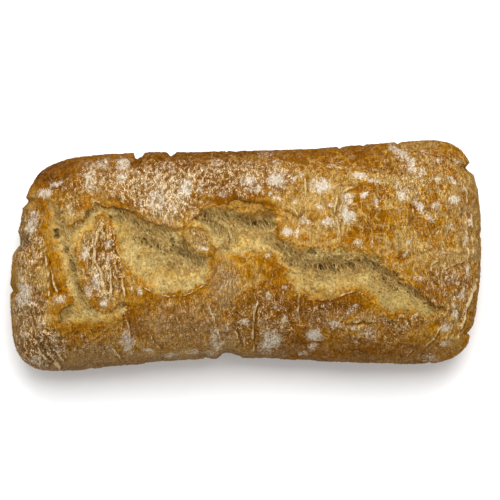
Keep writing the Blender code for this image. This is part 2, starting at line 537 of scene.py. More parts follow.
@dataclass
class Tears:
    """The torn openings in the top: their outline, valley and crevices.

    The outline runs clockwise, first along the lips at the back and then home along the
    hems at the front. The islet of crust inside it runs the other way round. A crevice is
    its width, its depth, and its corners' x and y in turn.
    """

    lips: Stations = (
        (-70.5, 26), (-66, 24.3), (-64.2, 19.2), (-61.8, 16.6), (-58.4, 18.2), (-56, 21.8), (-53.5, 24.2),
        (-50.5, 24.4), (-48.2, 22.4), (-45, 21.6), (-41, 20.6), (-37.5, 18.2), (-34, 16), (-30, 14.4),
        (-26, 13.2), (-22.3, 12.9), (-20.2, 14.3), (-18, 16.6), (-15.4, 19.4), (-12, 20.8), (-7, 21.3),
        (-2, 21.6), (3, 20.1), (8, 19.3), (11.5, 17.8), (14, 16.6), (15.6, 14.4), (14.6, 12.2), (12.8, 10),
        (13.2, 7.6), (17, 6), (20, 4.3), (25, 4.2), (30, 4.3), (35, 3.8), (39.5, 2.4), (43, 1), (47, 0.2),
        (49.8, -1), (51, -3.4), (53, -6.3), (56.5, -8.9), (59.5, -11), (61.5, -12.6), (64, -15.8),
        (67.2, -18), (70.2, -19.8), (73.2, -21.6))
    hems: Stations = (
        (70, -23.3), (66, -24.8), (62, -24.5), (58.5, -22.8), (54, -22.3), (50, -22.4), (47, -21),
        (44.5, -17.5), (42, -14), (39.5, -12.8), (35, -13.9), (31.2, -15.6), (27.7, -16), (23.4, -14.6),
        (19.8, -12.8), (16, -11.5), (14.6, -8), (13.8, -4.6), (12.4, -1.2), (10.5, 1.6), (6, 2.6), (2, 1.8),
        (-2, 1.4), (-6, 0.8), (-9.2, 1.2), (-11.2, 1.6), (-11.2, -1.4), (-12.6, -4.8), (-15.3, -8),
        (-18.7, -10.1), (-23, -11.2), (-28.1, -11.2), (-32.9, -9.9), (-36.2, -7.6), (-39.5, -4.8),
        (-42.2, -2), (-43.4, 2), (-44.6, 5.6), (-46, 9), (-47, 12.6), (-48.4, 15.8), (-50, 18.8),
        (-52.2, 17), (-53.6, 13.8), (-58, 11.8), (-59.6, 7.2), (-59.2, 1), (-58.4, -4), (-57, -9.6),
        (-55, -13.4), (-51.5, -15.6), (-48, -14.4), (-44.5, -11.8), (-41.5, -14.4), (-42, -17.2),
        (-46, -18.2), (-50, -20), (-56, -20.4), (-62, -20), (-68.4, -20.4), (-70, -18.4), (-67, -14.6),
        (-63.9, -11), (-64.6, -7), (-66.7, -2), (-67.8, 4), (-69.4, 8), (-70.5, 14), (-70.3, 20))
    islet: Stations = (
        (-21.2, 10.4), (-20.4, 8), (-17.9, 5.4), (-15.2, 3.8), (-12.2, 3.4), (-10.9, 6.2), (-12.7, 9.4),
        (-15.6, 11.3), (-19.2, 12.2))
    lip_facing: Pair = (0.3, 0.95)
    valley: Stations = (
        (-75, 0.55), (-64, 0.62), (-56, 0.7), (-45, 0.74), (-30, 0.66), (-15, 0.62), (0, 0.56), (12, 0.55),
        (25, 0.55), (38, 0.57), (48, 0.65), (57, 0.76), (75, 0.88))
    lip_wall: Stations = (
        (-75, 0.05), (-64, 0.06), (-56, 0.08), (-46, 0.12), (-36, 0.14), (-22, 0.1), (-14, 0.07),
        (-4, 0.05), (8, 0.05), (18, 0.04), (30, 0.03), (42, 0.04), (50, 0.06), (60, 0.08), (75, 0.1))
    shallows: Stations = (
        (16, 15, 4.5, 0.8), (-56, -17.5, 9, 0.55), (58, -13, 11, 0.55), (-60, -4, 6, 0.45),
        (-16, 2, 4, 0.45), (-28, 12, 6, 0.25))
    depth: Stations = (
        (-75, 2.4), (-62, 3), (-48, 3.6), (-35, 4.6), (-22, 4.8), (-12, 4.4), (0, 3.6), (12, 4), (24, 4.8),
        (36, 4.8), (50, 4), (62, 3.2), (73, 2))
    crevices: Stations = (
        (0.9, 2.6, -39, 9.6, -35.5, 8.6, -32, 6.2, -28.5, 4.2, -25, 4.4, -22, 3, -18.5, 1.4),
        (1.3, 1.6, -17.5, 17, -14, 14.6, -10.5, 12.2, -7.5, 11),
        (1.3, 1.8, -7, 16.4, -3, 15.6, 1, 13.8, 6, 12.4, 10, 11),
        (1, 2, 12.4, 3.8, 14.5, 0.6, 16.6, -2.2, 18.4, -2.6),
        (0.75, 2.2, 40, -1.8, 44, -3.6, 48, -5.4, 53, -8.8, 57, -12.4, 61.2, -16),
        (0.6, 0.9, 61.2, -16, 64, -18.2, 66.8, -19.8, 70.4, -21.2),
        (1.3, -1.3, -20.5, 13.8, -16.6, 13.1, -11.9, 11, -9.4, 7.4, -9.6, 3.6),
        (0.5, 1.1, 45, -9.2, 49.6, -10, 53, -13), (0.7, 0.7, -60.4, -4, -59.8, -9.6),
        (0.9, 1.3, -65, -13.6, -69, -18.6), (0.35, 0.8, 22.8, -12.4, 26, -13.6))
    ragged: float = 2.6
    ragged_wave: float = 4.5
    ragged_layers: tuple[int, float] = (4, 0.65)
    ragged_shift: float = 57.0
    full_span: float = 9.0
    least_fullness: float = 0.15
    valley_power: float = 2.1
    hard_power: float = 1.2
    soft_power: float = 1.8
    hard_walls: Pair = (0.03, 0.24)
    clean_zone: Zone = (1, 11)
    clean_share: float = 0.8
    chunk: int = 12000
    lip_rise: float = 0.8
    lip_reach: float = 3.6
    lip_zone: Pair = (0.35, 0.75)
    frayed_lip: float = 0.3
    grain: Noise = Noise(11)

    def strayed(self, x: Array, y: Array) -> tuple[Array, Array]:
        """Shift points a little, so that a smooth outline measures ragged.

        Args:
            x: Places along the roll.
            y: Places across it.

        Returns:
            The shifted places along and across.
        """
        here = level_points(x, y)
        shift_x = self.grain.layered(here, self.ragged_wave, *self.ragged_layers)
        shift_y = self.grain.layered(here + self.ragged_shift, self.ragged_wave, *self.ragged_layers)
        return x + shift_x * self.ragged, y + shift_y * self.ragged

    def measure(self, x: Array, y: Array) -> TearField:
        """Measure points against the openings.

        Args:
            x: Places along the roll, as seen.
            y: Places across it, as seen.

        Returns:
            For each point: how far it is inside an opening (negative on the crust), its
            share of the way from hem to lip, the opening's span there, and how strongly
            the nearest edge is a lip.
        """
        starts, ends = self.stretches()
        run = ends - starts
        outward = np.column_stack((-run[:, 1], run[:, 0])) / np.linalg.norm(run, axis=1)[:, None]
        is_lip = outward @ np.array(self.lip_facing) > 0
        strayed_x, strayed_y = self.strayed(x, y)
        pieces = []
        for chunk in np.array_split(np.arange(len(x)), max(1, len(x) // self.chunk)):
            pieces.append(self.measure_chunk(strayed_x[chunk], strayed_y[chunk], starts, run, is_lip))
        to_hem, to_lip, inside = (np.concatenate(part) for part in zip(*pieces))
        edge = np.minimum(to_hem, to_lip) * np.where(inside, 1, -1)
        share = to_hem / (to_hem + to_lip + TINY)
        return TearField(edge, share, to_hem + to_lip, (to_lip < to_hem).astype(float))

    def stretches(self) -> tuple[Array, Array]:
        """Break the outline and the islet into straight stretches.

        Returns:
            Where the stretches start and where they end.
        """
        outline = np.array(self.lips + self.hems)
        islet = np.array(self.islet)
        starts = np.concatenate((outline, islet))
        ends = np.concatenate((np.roll(outline, -1, axis=0), np.roll(islet, -1, axis=0)))
        return starts, ends

    def measure_chunk(self, x: Array, y: Array, starts: Array, run: Array,
                      is_lip: Array) -> tuple[Array, Array, Array]:
        """Measure some points against every stretch.

        Args:
            x: Places along the roll.
            y: Places across it.
            starts: Where each stretch starts.
            run: Each stretch's run.
            is_lip: Which stretches are lips.

        Returns:
            Distance to the nearest hem, to the nearest lip, and whether the point is
            inside an opening.
        """
        away_x = x[:, None] - starts[:, 0]
        away_y = y[:, None] - starts[:, 1]
        t = np.clip((away_x * run[:, 0] + away_y * run[:, 1]) / (run ** 2).sum(axis=1), 0, 1)
        distance = np.hypot(away_x - t * run[:, 0], away_y - t * run[:, 1])
        to_hem = distance[:, ~is_lip].min(axis=1)
        to_lip = distance[:, is_lip].min(axis=1)
        crosses = (away_y >= 0) != (away_y - run[:, 1] >= 0)
        rise = np.where(run[:, 1] == 0, TINY, run[:, 1])
        left_of = x[:, None] < starts[:, 0] + away_y / rise * run[:, 0]
        inside = (crosses & left_of).sum(axis=1) % 2 == 1
        return to_hem, to_lip, inside

    def sunk(self, x: Array, y: Array, tear: TearField) -> Array:
        """Return how far the crumb lies below the crust's level.

        Args:
            x: Places along the roll, as seen.
            y: Places across it, as seen.
            tear: The points' measures against the openings.

        Returns:
            The depth at each point.
        """
        valley = curve_through(self.valley, x)
        rising = np.clip(tear.share / valley, 0, 1) ** self.valley_power
        wall = curve_through(self.lip_wall, x)
        up = np.clip((tear.share - valley) / (1 - valley), 0, 1)
        hard = smooth_step(*self.hard_walls, wall)
        steep, slack = 1 - up ** self.hard_power, (1 - up) ** self.soft_power
        falling = wall + (1 - wall) * (hard * steep + (1 - hard) * slack)
        fullness = np.clip(tear.span / self.full_span, self.least_fullness, 1.0)
        depth = curve_through(self.depth, x) * rising * falling * fullness
        for mid_x, mid_y, reach, share in self.shallows:
            depth *= 1 - share * ridge(np.hypot(x - mid_x, y - mid_y), reach)
        strayed = self.strayed(x, y)
        for width, extra, *corners in self.crevices:
            path = np.reshape(corners, (-1, 2))
            depth += extra * ridge(distance_to_path(*strayed, path), width)
        return depth

    def hardness(self, x: Array) -> Array:
        """Return how sharply the crust broke at the lip, from 0, frayed, to 1, clean."""
        clean = smooth_step(*self.hard_walls, curve_through(self.lip_wall, x))
        return np.maximum(clean, self.clean_share * within(x, self.clean_zone))

    def lip(self, x: Array, tear: TearField) -> Array:
        """Return how far the crust's edge stands up beside the openings."""
        firm = self.frayed_lip + (1 - self.frayed_lip) * self.hardness(x)
        strength = self.lip_rise * smooth_step(*self.lip_zone, tear.share) * firm
        return strength * ridge(np.abs(tear.edge), self.lip_reach)


# ---------------------------------------------------------------- meshes


@dataclass
class Box:
    """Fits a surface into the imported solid's box."""

    low: Array
    high: Array
    scale: Array = field(default_factory=lambda: np.ones(3))
    shift: Array = field(default_factory=lambda: np.zeros(3))

    def settle(self, places: Array) -> None:
        """Work out the stretch that brings the given surface just inside the box."""
        least, most = places.min(axis=0), places.max(axis=0)
        self.scale = (self.high - self.low) / (most - least)
        self.shift = self.low - least * self.scale

    def fit(self, places: Array) -> Array:
        """Apply the stretch, and keep every point inside the box."""
        return np.clip(places * self.scale + self.shift, self.low, self.high)


def read_rows(items: Sequence, name: str, wide: int = 3, kind: type = float) -> Array:
    """Read a property of every vertex, face or corner of a mesh.

    Args:
        items: The mesh's vertices, faces or corners.
        name: The property.
        wide: How many numbers it has.
        kind: Their type.

    Returns:
        The values, a row each.
    """
    values = np.empty(len(items) * wide, dtype=kind)
    items.foreach_get(name, values)
    return values.reshape(-1, wide)


def vertex_places(mesh: Mesh) -> Array:
    """Read a mesh's vertices, a row each."""
    return read_rows(mesh.vertices, "co")


def vertex_normals(mesh: Mesh) -> Array:
    """Read a mesh's vertex normals, a row each."""
    return read_rows(mesh.vertex_normals, "vector", kind=np.float32).astype(float)


def move_vertices(mesh: Mesh, places: Array) -> None:
    """Put a mesh's vertices at the given places."""
    mesh.vertices.foreach_set("co", np.ascontiguousarray(places, dtype=np.float32).ravel())
    mesh.update()


def write_shares(mesh: Mesh, shares: dict[str, Array]) -> None:
    """Store a value for each vertex under each name."""
    for name, values in shares.items():
        layer = mesh.attributes.new(name, "FLOAT", "POINT")
        layer.data.foreach_set("value", np.ascontiguousarray(values, dtype=np.float32))


def placed(name: str, data: bpy.types.ID) -> Piece:
    """Make an object of a mesh, camera or lamp, at the origin.

    Args:
        name: The object's name.
        data: What it shows.

    Returns:
        The object, linked to the scene.
    """
    item = bpy.data.objects.new(name, data)
    bpy.context.scene.collection.objects.link(item)
    return item


def dressed(name: str, mesh: Mesh, shares: dict[str, Array],
            material: Material) -> Piece:
    """Make a piece of a shaped mesh.

    Args:
        name: The piece's name.
        mesh: Its mesh.
        shares: Values for each vertex, under the names that the material reads.
        material: Its material.

    Returns:
        The piece, shaded smooth.
    """
    write_shares(mesh, shares)
    mesh.materials.append(material)
    mesh.shade_smooth()
    return placed(name, mesh)


def mesh_from(name: str, work: bmesh.types.BMesh) -> Mesh:
    """Turn a finished working mesh into one that objects can use.

    Args:
        name: The mesh's name.
        work: The working mesh, which is freed.

    Returns:
        The mesh.
    """
    mesh = bpy.data.meshes.new(name)
    work.to_mesh(mesh)
    work.free()
    return mesh


def corner_tables(mesh: Mesh) -> tuple[Array, Array]:
    """Return the vertex and the face that each face corner belongs to."""
    counts = read_rows(mesh.polygons, "loop_total", 1, int).ravel()
    return read_rows(mesh.loops, "vertex_index", 1, int).ravel(), np.repeat(np.arange(len(counts)), counts)


def write_map(mesh: Mesh, u: Array, v: Array) -> None:
    """Store a flat layout of the face corners as the piece's bake map."""
    layer = mesh.uv_layers.new(name="OFBake")
    layer.data.foreach_set("uv", np.column_stack((u, v)).ravel())


# ---------------------------------------------------------------- materials


def srgb(red: float, green: float, blue: float) -> Colour:
    """Turn an 8-bit screen colour into the linear colour that a shader takes.

    Args:
        red: Red, 0 to 255.
        green: Green.
        blue: Blue.

    Returns:
        The linear colour, opaque.
    """
    parts = []
    for part in (red, green, blue):
        share = part / 255
        parts.append(share / 12.92 if share <= 0.04045 else ((share + 0.055) / 1.055) ** 2.4)
    return (parts[0], parts[1], parts[2], 1.0)


class Recipe:
    """Builds the nodes of one material, a step at a time."""

    def __init__(self, name: str) -> None:
        """Start a material with its shader and the piece's own coordinates.

        Args:
            name: The material's name.
        """
        self.material = bpy.data.materials.new(name)
        self.material.use_nodes = True
        self.tree = self.material.node_tree
        self.shader = self.tree.nodes["Principled BSDF"]
        self.place = self.tree.nodes.new("ShaderNodeTexCoord").outputs["Object"]

    def node(self, kind: str, inputs: dict[str | int, object], **settings: object) -> bpy.types.Node:
        """Add a node.

        Args:
            kind: What it does.
            inputs: Sockets or values for its inputs.
            settings: Its options.

        Returns:
            The node.
        """
        node = self.tree.nodes.new(f"ShaderNode{kind}")
        for name, value in settings.items():
            setattr(node, name, value)
        for name, value in inputs.items():
            self.feed(node.inputs[name], value)
        return node

    def attribute(self, name: str) -> Socket:
        """Read a value stored on the vertices."""
        return self.node("Attribute", {}, attribute_name=name).outputs["Fac"]

    def noise(self, wave: float, detail: float = 2.0, rough: float = 0.5, warp: float = 0.0,
              stretch: Triple = (1, 1, 1)) -> Socket:
        """Lay a noise over the piece.

        Args:
            wave: Size of its features, in millimetres.
            detail: Number of finer layers.
            rough: Strength of the finer layers.
            warp: How far the pattern folds on itself.
            stretch: Finer, above 1, or longer, below 1, along each axis.

        Returns:
            The noise's value, about 0 to 1.
        """
        place = self.node("Mapping", {"Scale": stretch, "Vector": self.place}).outputs["Vector"]
        noise = self.node("TexNoise", {"Scale": 1 / (wave * MM), "Detail": detail, "Roughness": rough,
                                       "Distortion": warp, "Vector": place})
        return noise.outputs["Fac"]

    def math(self, operation: str, first: Socket | float, second: Socket | float = 0.0) -> Socket:
        """Combine two values."""
        return self.node("Math", {0: first, 1: second}, operation=operation).outputs[0]

    def times(self, first: Socket | float, second: Socket | float) -> Socket:
        """Multiply two values."""
        return self.math("MULTIPLY", first, second)

    def plus(self, first: Socket | float, second: Socket | float) -> Socket:
        """Add two values."""
        return self.math("ADD", first, second)

    def minus(self, first: Socket | float, second: Socket | float) -> Socket:
        """Take the second value from the first."""
        return self.math("SUBTRACT", first, second)

    def most(self, first: Socket | float, second: Socket | float) -> Socket:
        """Take the larger of two values."""
        return self.math("MAXIMUM", first, second)

    def ease(self, value: Socket, low: float, high: float) -> Socket:
        """Ease a value from 0 at low to 1 at high."""
        inputs = {"Value": value, "From Min": low, "From Max": high}
        return self.node("MapRange", inputs, interpolation_type="SMOOTHSTEP").outputs["Result"]

    def blend(self, share: Socket | float, first: Socket | Colour, second: Socket | Colour,
              mode: str = "MIX") -> Socket:
        """Lay one colour over another.

        Args:
            share: How much of the second colour shows.
            first: The colour below.
            second: The colour on top.
            mode: How they mix.

        Returns:
            The mixed colour.
        """
        inputs = {0: share, 6: first, 7: second}
        return self.node("Mix", inputs, data_type="RGBA", blend_type=mode, clamp_factor=True).outputs[2]

    def vary(self, colour: Socket, value: Socket, amount: float) -> Socket:
        """Darken and lighten a colour by a noise's value about its middle.

        Args:
            colour: The colour.
            value: The noise, about 0 to 1.
            amount: Strength of the change.

        Returns:
            The varied colour.
        """
        factor = self.plus(self.times(value, 2 * amount), 1 - amount)
        return self.blend(1.0, colour, factor, "MULTIPLY")

    def worms(self, wave: float, stretch: Triple = (1, 1, 1)) -> Socket:
        """Lay curved strokes over the piece, read as the distance to their middle line."""
        return self.math("ABSOLUTE", self.minus(self.noise(wave, 1.5, 0.5, 0.6, stretch), 0.5))

    def shift(self, value: Socket, noise: Socket, amount: float) -> Socket:
        """Add a noise about its middle to a value."""
        return self.plus(value, self.times(self.minus(noise, 0.5), amount))

    def feed(self, slot: Socket, value: object) -> None:
        """Link a socket to an input, or set the input's own value.

        Args:
            slot: The input.
            value: The socket or the value.
        """
        if isinstance(value, bpy.types.NodeSocket):
            self.tree.links.new(value, slot)
        else:
            slot.default_value = value

    def finish(self, colour: Socket, rough: Socket, height: Socket, bump: float, strength: float,
               specular: float) -> Material:
        """Feed the shader.

        Args:
            colour: The surface's colour.
            rough: Its roughness.
            height: Its fine relief.
            bump: Depth of that relief, in millimetres.
            strength: How much of the relief shows.
            specular: Strength of its highlights.

        Returns:
            The finished material.
        """
        relief = self.node("Bump", {"Strength": strength, "Distance": bump * MM, "Height": height})
        surface = {"Base Color": colour, "Roughness": rough, "Normal": relief.outputs["Normal"],
                   "Specular IOR Level": specular}
        for name, value in surface.items():
            self.feed(self.shader.inputs[name], value)
        return self.material


@dataclass(frozen=True)
class CrustFinish:
    """Baked crust, from straw and gold to dark brown, under flour, with painted shade in its creases, beside
    its pale lines and near its outline.
    """

    straw: Colour = srgb(174, 141, 80)
    gold: Colour = srgb(156, 106, 14)
    brown: Colour = srgb(130, 80, 4)
    dark: Colour = srgb(92, 50, 5)
    # Painted shade in furrows, cracks and creases, and along the curls.
    crease_shade: Colour = srgb(100, 58, 10)
    toast: Colour = srgb(154, 94, 8)
    pale: Colour = srgb(208, 182, 136)
    flour: Colour = srgb(206, 193, 171)
    dusting: Colour = srgb(220, 194, 155)
    bloom: Colour = srgb(198, 158, 94)
    haze: Colour = srgb(152, 130, 96)
    shadow: Colour = srgb(36, 18, 4)
    specular: float = 0.01
    stroke_stretch: Triple = (1.35, 0.42, 1.0)

    def build(self) -> Material:
        """Mix the crust's colours by its stored shares and its mottles.

        Returns:
            The crust's material.
        """
        mix = Recipe("baked_crust")
        broad = mix.noise(13.0, 4, 0.6, 0.5)
        middle = mix.noise(3.2, 3, 0.6, 0.5)
        fine = mix.noise(1.15, 2, 0.65, 0.0, (1.45, 0.45, 0.45))
        grain = mix.noise(0.5, 1, 0.5)
        mottle = mix.attribute("mottle")
        furrow = mix.attribute("furrow")
        worn = mix.ease(mix.shift(mottle, middle, 0.9), -0.3, 0.9)
        creases = mix.ease(mix.worms(0.9, self.stroke_stretch), 0.055, 0.01)
        colour = self.bake(mix, broad, middle)
        colour = mix.vary(colour, grain, 0.4)
        colour = mix.vary(colour, fine, 0.9)
        colour = self.curl(mix, colour, worn)
        cut = mix.times(creases, mix.plus(mix.times(worn, 0.7), 0.3))
        pale = mix.ease(mix.attribute("pale"), 0.46, 0.82)
        powder, colour = self.dust(mix, colour, fine, grain, furrow)
        # Painted shade in the furrows, cracks and creases, thinner over flour.
        cut_through = mix.most(mix.times(furrow, 0.75), cut)
        thin = mix.minus(1.0, mix.times(mix.attribute("flour"), 0.6))
        colour = mix.blend(mix.times(cut_through, thin), colour, self.crease_shade)
        colour = mix.blend(mix.times(pale, 0.9), colour, self.pale)
        # Painted shade near the outline and down the sides, a little more along the back.
        colour = mix.blend(mix.attribute("painted_rim_shade"), colour, self.shadow)
        rough = mix.plus(mix.times(powder, 0.2), 0.66)
        height = mix.plus(mix.times(fine, 0.7), mix.times(grain, 0.4))
        height = mix.minus(height, mix.times(cut, 0.6))
        return mix.finish(colour, rough, height, 0.7, 0.9, self.specular)

    def curl(self, mix: Recipe, colour: Socket, worn: Socket) -> Socket:
        """Lay thin pale curls with painted shade along their sides on the crust.

        Args:
            mix: The material's recipe.
            colour: The crust's colour.
            worn: How wrinkled the crust is.

        Returns:
            The colour with its curls.
        """
        line = mix.worms(2.2, (1.0, 0.55, 0.8))
        patch = mix.ease(mix.noise(4.0, 2, 0.6), 0.46, 0.6)
        share = mix.plus(mix.times(mix.attribute("veins"), 0.12), mix.times(worn, 0.5))
        share = mix.times(patch, share)
        # Painted shade along each curl, round its pale middle.
        colour = mix.blend(mix.times(mix.ease(line, 0.13, 0.07), share), colour, self.crease_shade)
        colour = mix.blend(mix.times(mix.ease(line, 0.06, 0.02), share), colour, self.pale)
        fringe = mix.ease(mix.shift(mix.attribute("bare"), line, 2.0), 0.1, 0.7)
        return mix.blend(fringe, colour, self.straw)

    def bake(self, mix: Recipe, broad: Socket, middle: Socket) -> Socket:
        """Mix the bare crust.

        Args:
            mix: The material's recipe.
            broad: Noise of the large patches.
            middle: Noise of the small patches.

        Returns:
            The bare crust's colour.
        """
        # The brown share mixes browning with painted shade in cracks, beside pale lines and towards the front
        # rim.
        shade = mix.shift(mix.shift(mix.attribute("brown"), broad, 1.5), middle, 1.2)
        veins = mix.times(mix.ease(mix.worms(5.5), 0.07, 0.0), mix.attribute("veins"))
        shade = mix.minus(shade, mix.times(veins, 0.6))
        colour = mix.blend(mix.ease(shade, -0.1, 0.4), self.straw, self.gold)
        colour = mix.blend(mix.ease(shade, 0.25, 0.75), colour, self.brown)
        colour = mix.blend(mix.ease(shade, 0.8, 1.5), colour, self.dark)
        toast = mix.shift(mix.attribute("toast"), middle, 1.0)
        return mix.blend(mix.ease(toast, 0.25, 0.8), colour, self.toast)

    def dust(self, mix: Recipe, colour: Socket, fine: Socket, grain: Socket,
             furrow: Socket) -> tuple[Socket, Socket]:
        """Lay flour on the crust, as strokes on its wrinkles and as blots.

        Args:
            mix: The material's recipe.
            colour: The crust's colour.
            fine: Noise of the specks.
            grain: Noise of the finest specks.
            furrow: How deep in a wrinkle the crust lies.

        Returns:
            How thickly flour lies, and the floured colour.
        """
        gaps = mix.noise(2.4, 3, 0.65, 0.4)
        mottle = mix.attribute("mottle")
        # Grey flour haze; towards the front rim it is partly painted shade.
        haze = mix.shift(mix.shift(mix.attribute("haze"), gaps, 0.9), fine, 1.3)
        haze = mix.times(mix.ease(haze, 0.18, 1.2), 0.6)
        colour = mix.blend(haze, colour, self.haze)
        cover = mix.shift(mottle, gaps, 1.5)
        cover = mix.minus(cover, mix.times(furrow, 0.8))
        cover = mix.plus(cover, mix.times(mix.attribute("crest"), 0.5))
        strokes = mix.minus(mix.times(cover, 0.085), mix.worms(0.72, self.stroke_stretch))
        strokes = mix.shift(strokes, grain, 0.09)
        dusting = mix.times(mix.ease(strokes, -0.01, 0.055), 0.95)
        tint = mix.blend(mix.ease(mottle, 0.15, 0.6), self.bloom, self.dusting)
        colour = mix.blend(dusting, colour, tint)
        feather = mix.noise(1.7, 3, 0.65, 0.5, (1.2, 0.7, 1.0))
        blot = mix.shift(mix.shift(mix.attribute("flour"), feather, 1.7), grain, 1.1)
        blot = mix.minus(blot, mix.times(furrow, 0.3))
        blot = mix.times(mix.ease(blot, 0.2, 1.0), 0.94)
        colour = mix.blend(blot, colour, self.flour)
        return mix.most(dusting, blot), mix.vary(colour, grain, 0.28)


@dataclass(frozen=True)
class CrumbFinish:
    """Torn crumb: straw yellow where it is open, greyer in the valleys as partly painted shade, with painted
    shade in its pores, toasted at lips.
    """

    open: Colour = srgb(178, 154, 98)
    ripe: Colour = srgb(172, 136, 66)
    # Greyer crumb of the valleys: partly its own tone, partly painted shade.
    deep: Colour = srgb(153, 129, 72)
    toast: Colour = srgb(166, 114, 22)
    lit: Colour = srgb(216, 178, 100)
    # Painted shade in pits, holes, hollows and under the back lip.
    pore_shade: Colour = srgb(86, 74, 44)
    thread: Colour = srgb(198, 174, 114)
    specular: float = 0.03

    def build(self) -> Material:
        """Mix the crumb's colours by its stored shares.

        Returns:
            The crumb's material.
        """
        mix = Recipe("torn_crumb")
        broad = mix.noise(4.5, 3, 0.6, 0.3)
        fine = mix.noise(1.0, 3, 0.65, 0.4, (1.2, 0.6, 1.0))
        grain = mix.noise(0.5, 1, 0.5)
        strands = mix.ease(mix.worms(1.6, (1.0, 0.4, 1.0)), 0.09, 0.0)
        colour = mix.blend(mix.ease(broad, 0.35, 0.65), self.open, self.ripe)
        # Greyer towards the valleys and the right of the roll: partly the crumb's own tone, partly painted
        # shade.
        shade = mix.shift(mix.attribute("deep"), broad, 0.6)
        colour = mix.blend(mix.ease(shade, 0.1, 0.9), colour, self.deep)
        toast = mix.shift(mix.shift(mix.attribute("toast"), broad, 0.9), fine, 0.5)
        colour = mix.blend(mix.ease(toast, 0.2, 0.95), colour, self.toast)
        colour = mix.blend(mix.times(mix.attribute("lit"), 0.55), colour, self.lit)
        # Painted shade in the pores and hollows.
        colour = mix.blend(mix.attribute("pore_shade"), colour, self.pore_shade)
        colour = mix.vary(mix.vary(colour, grain, 0.35), mix.noise(2.6, 2, 0.6, 0.3), 0.5)
        valley = mix.ease(mix.shift(mix.attribute("hollow"), broad, 0.6), 0.1, 0.6)
        colour = mix.blend(valley, mix.vary(colour, fine, 0.7), mix.vary(colour, fine, 1.5))
        # Painted shade, a little darker deep in the valleys.
        colour = mix.vary(colour, mix.minus(0.5, mix.times(valley, 0.12)), 0.6)
        thread = mix.times(strands, mix.plus(mix.times(valley, 0.55), 0.15))
        thread = mix.most(thread, mix.times(mix.attribute("wall"), 0.8))
        bare = mix.minus(1.0, mix.times(mix.ease(toast, 0.4, 1.1), 0.7))
        thread = mix.times(thread, bare)
        colour = mix.blend(thread, colour, self.thread)
        rough = mix.plus(mix.times(fine, 0.1), 0.85)
        return mix.finish(colour, rough, mix.plus(fine, strands), 0.4, 0.7, self.specular)


@dataclass(frozen=True)
class TableFinish:
    """Plain pale table top."""

    colour: Colour = srgb(250, 250, 250)
    rough: float = 0.9

    def build(self) -> Material:
        """Mix the table's material.

        Returns:
            The table's material.
        """
        material = bpy.data.materials.new("pale_table")
        material.use_nodes = True
        shader = material.node_tree.nodes["Principled BSDF"]
        shader.inputs["Base Color"].default_value = self.colour
        shader.inputs["Roughness"].default_value = self.rough
        return material


# ---------------------------------------------------------------- marks on the crust


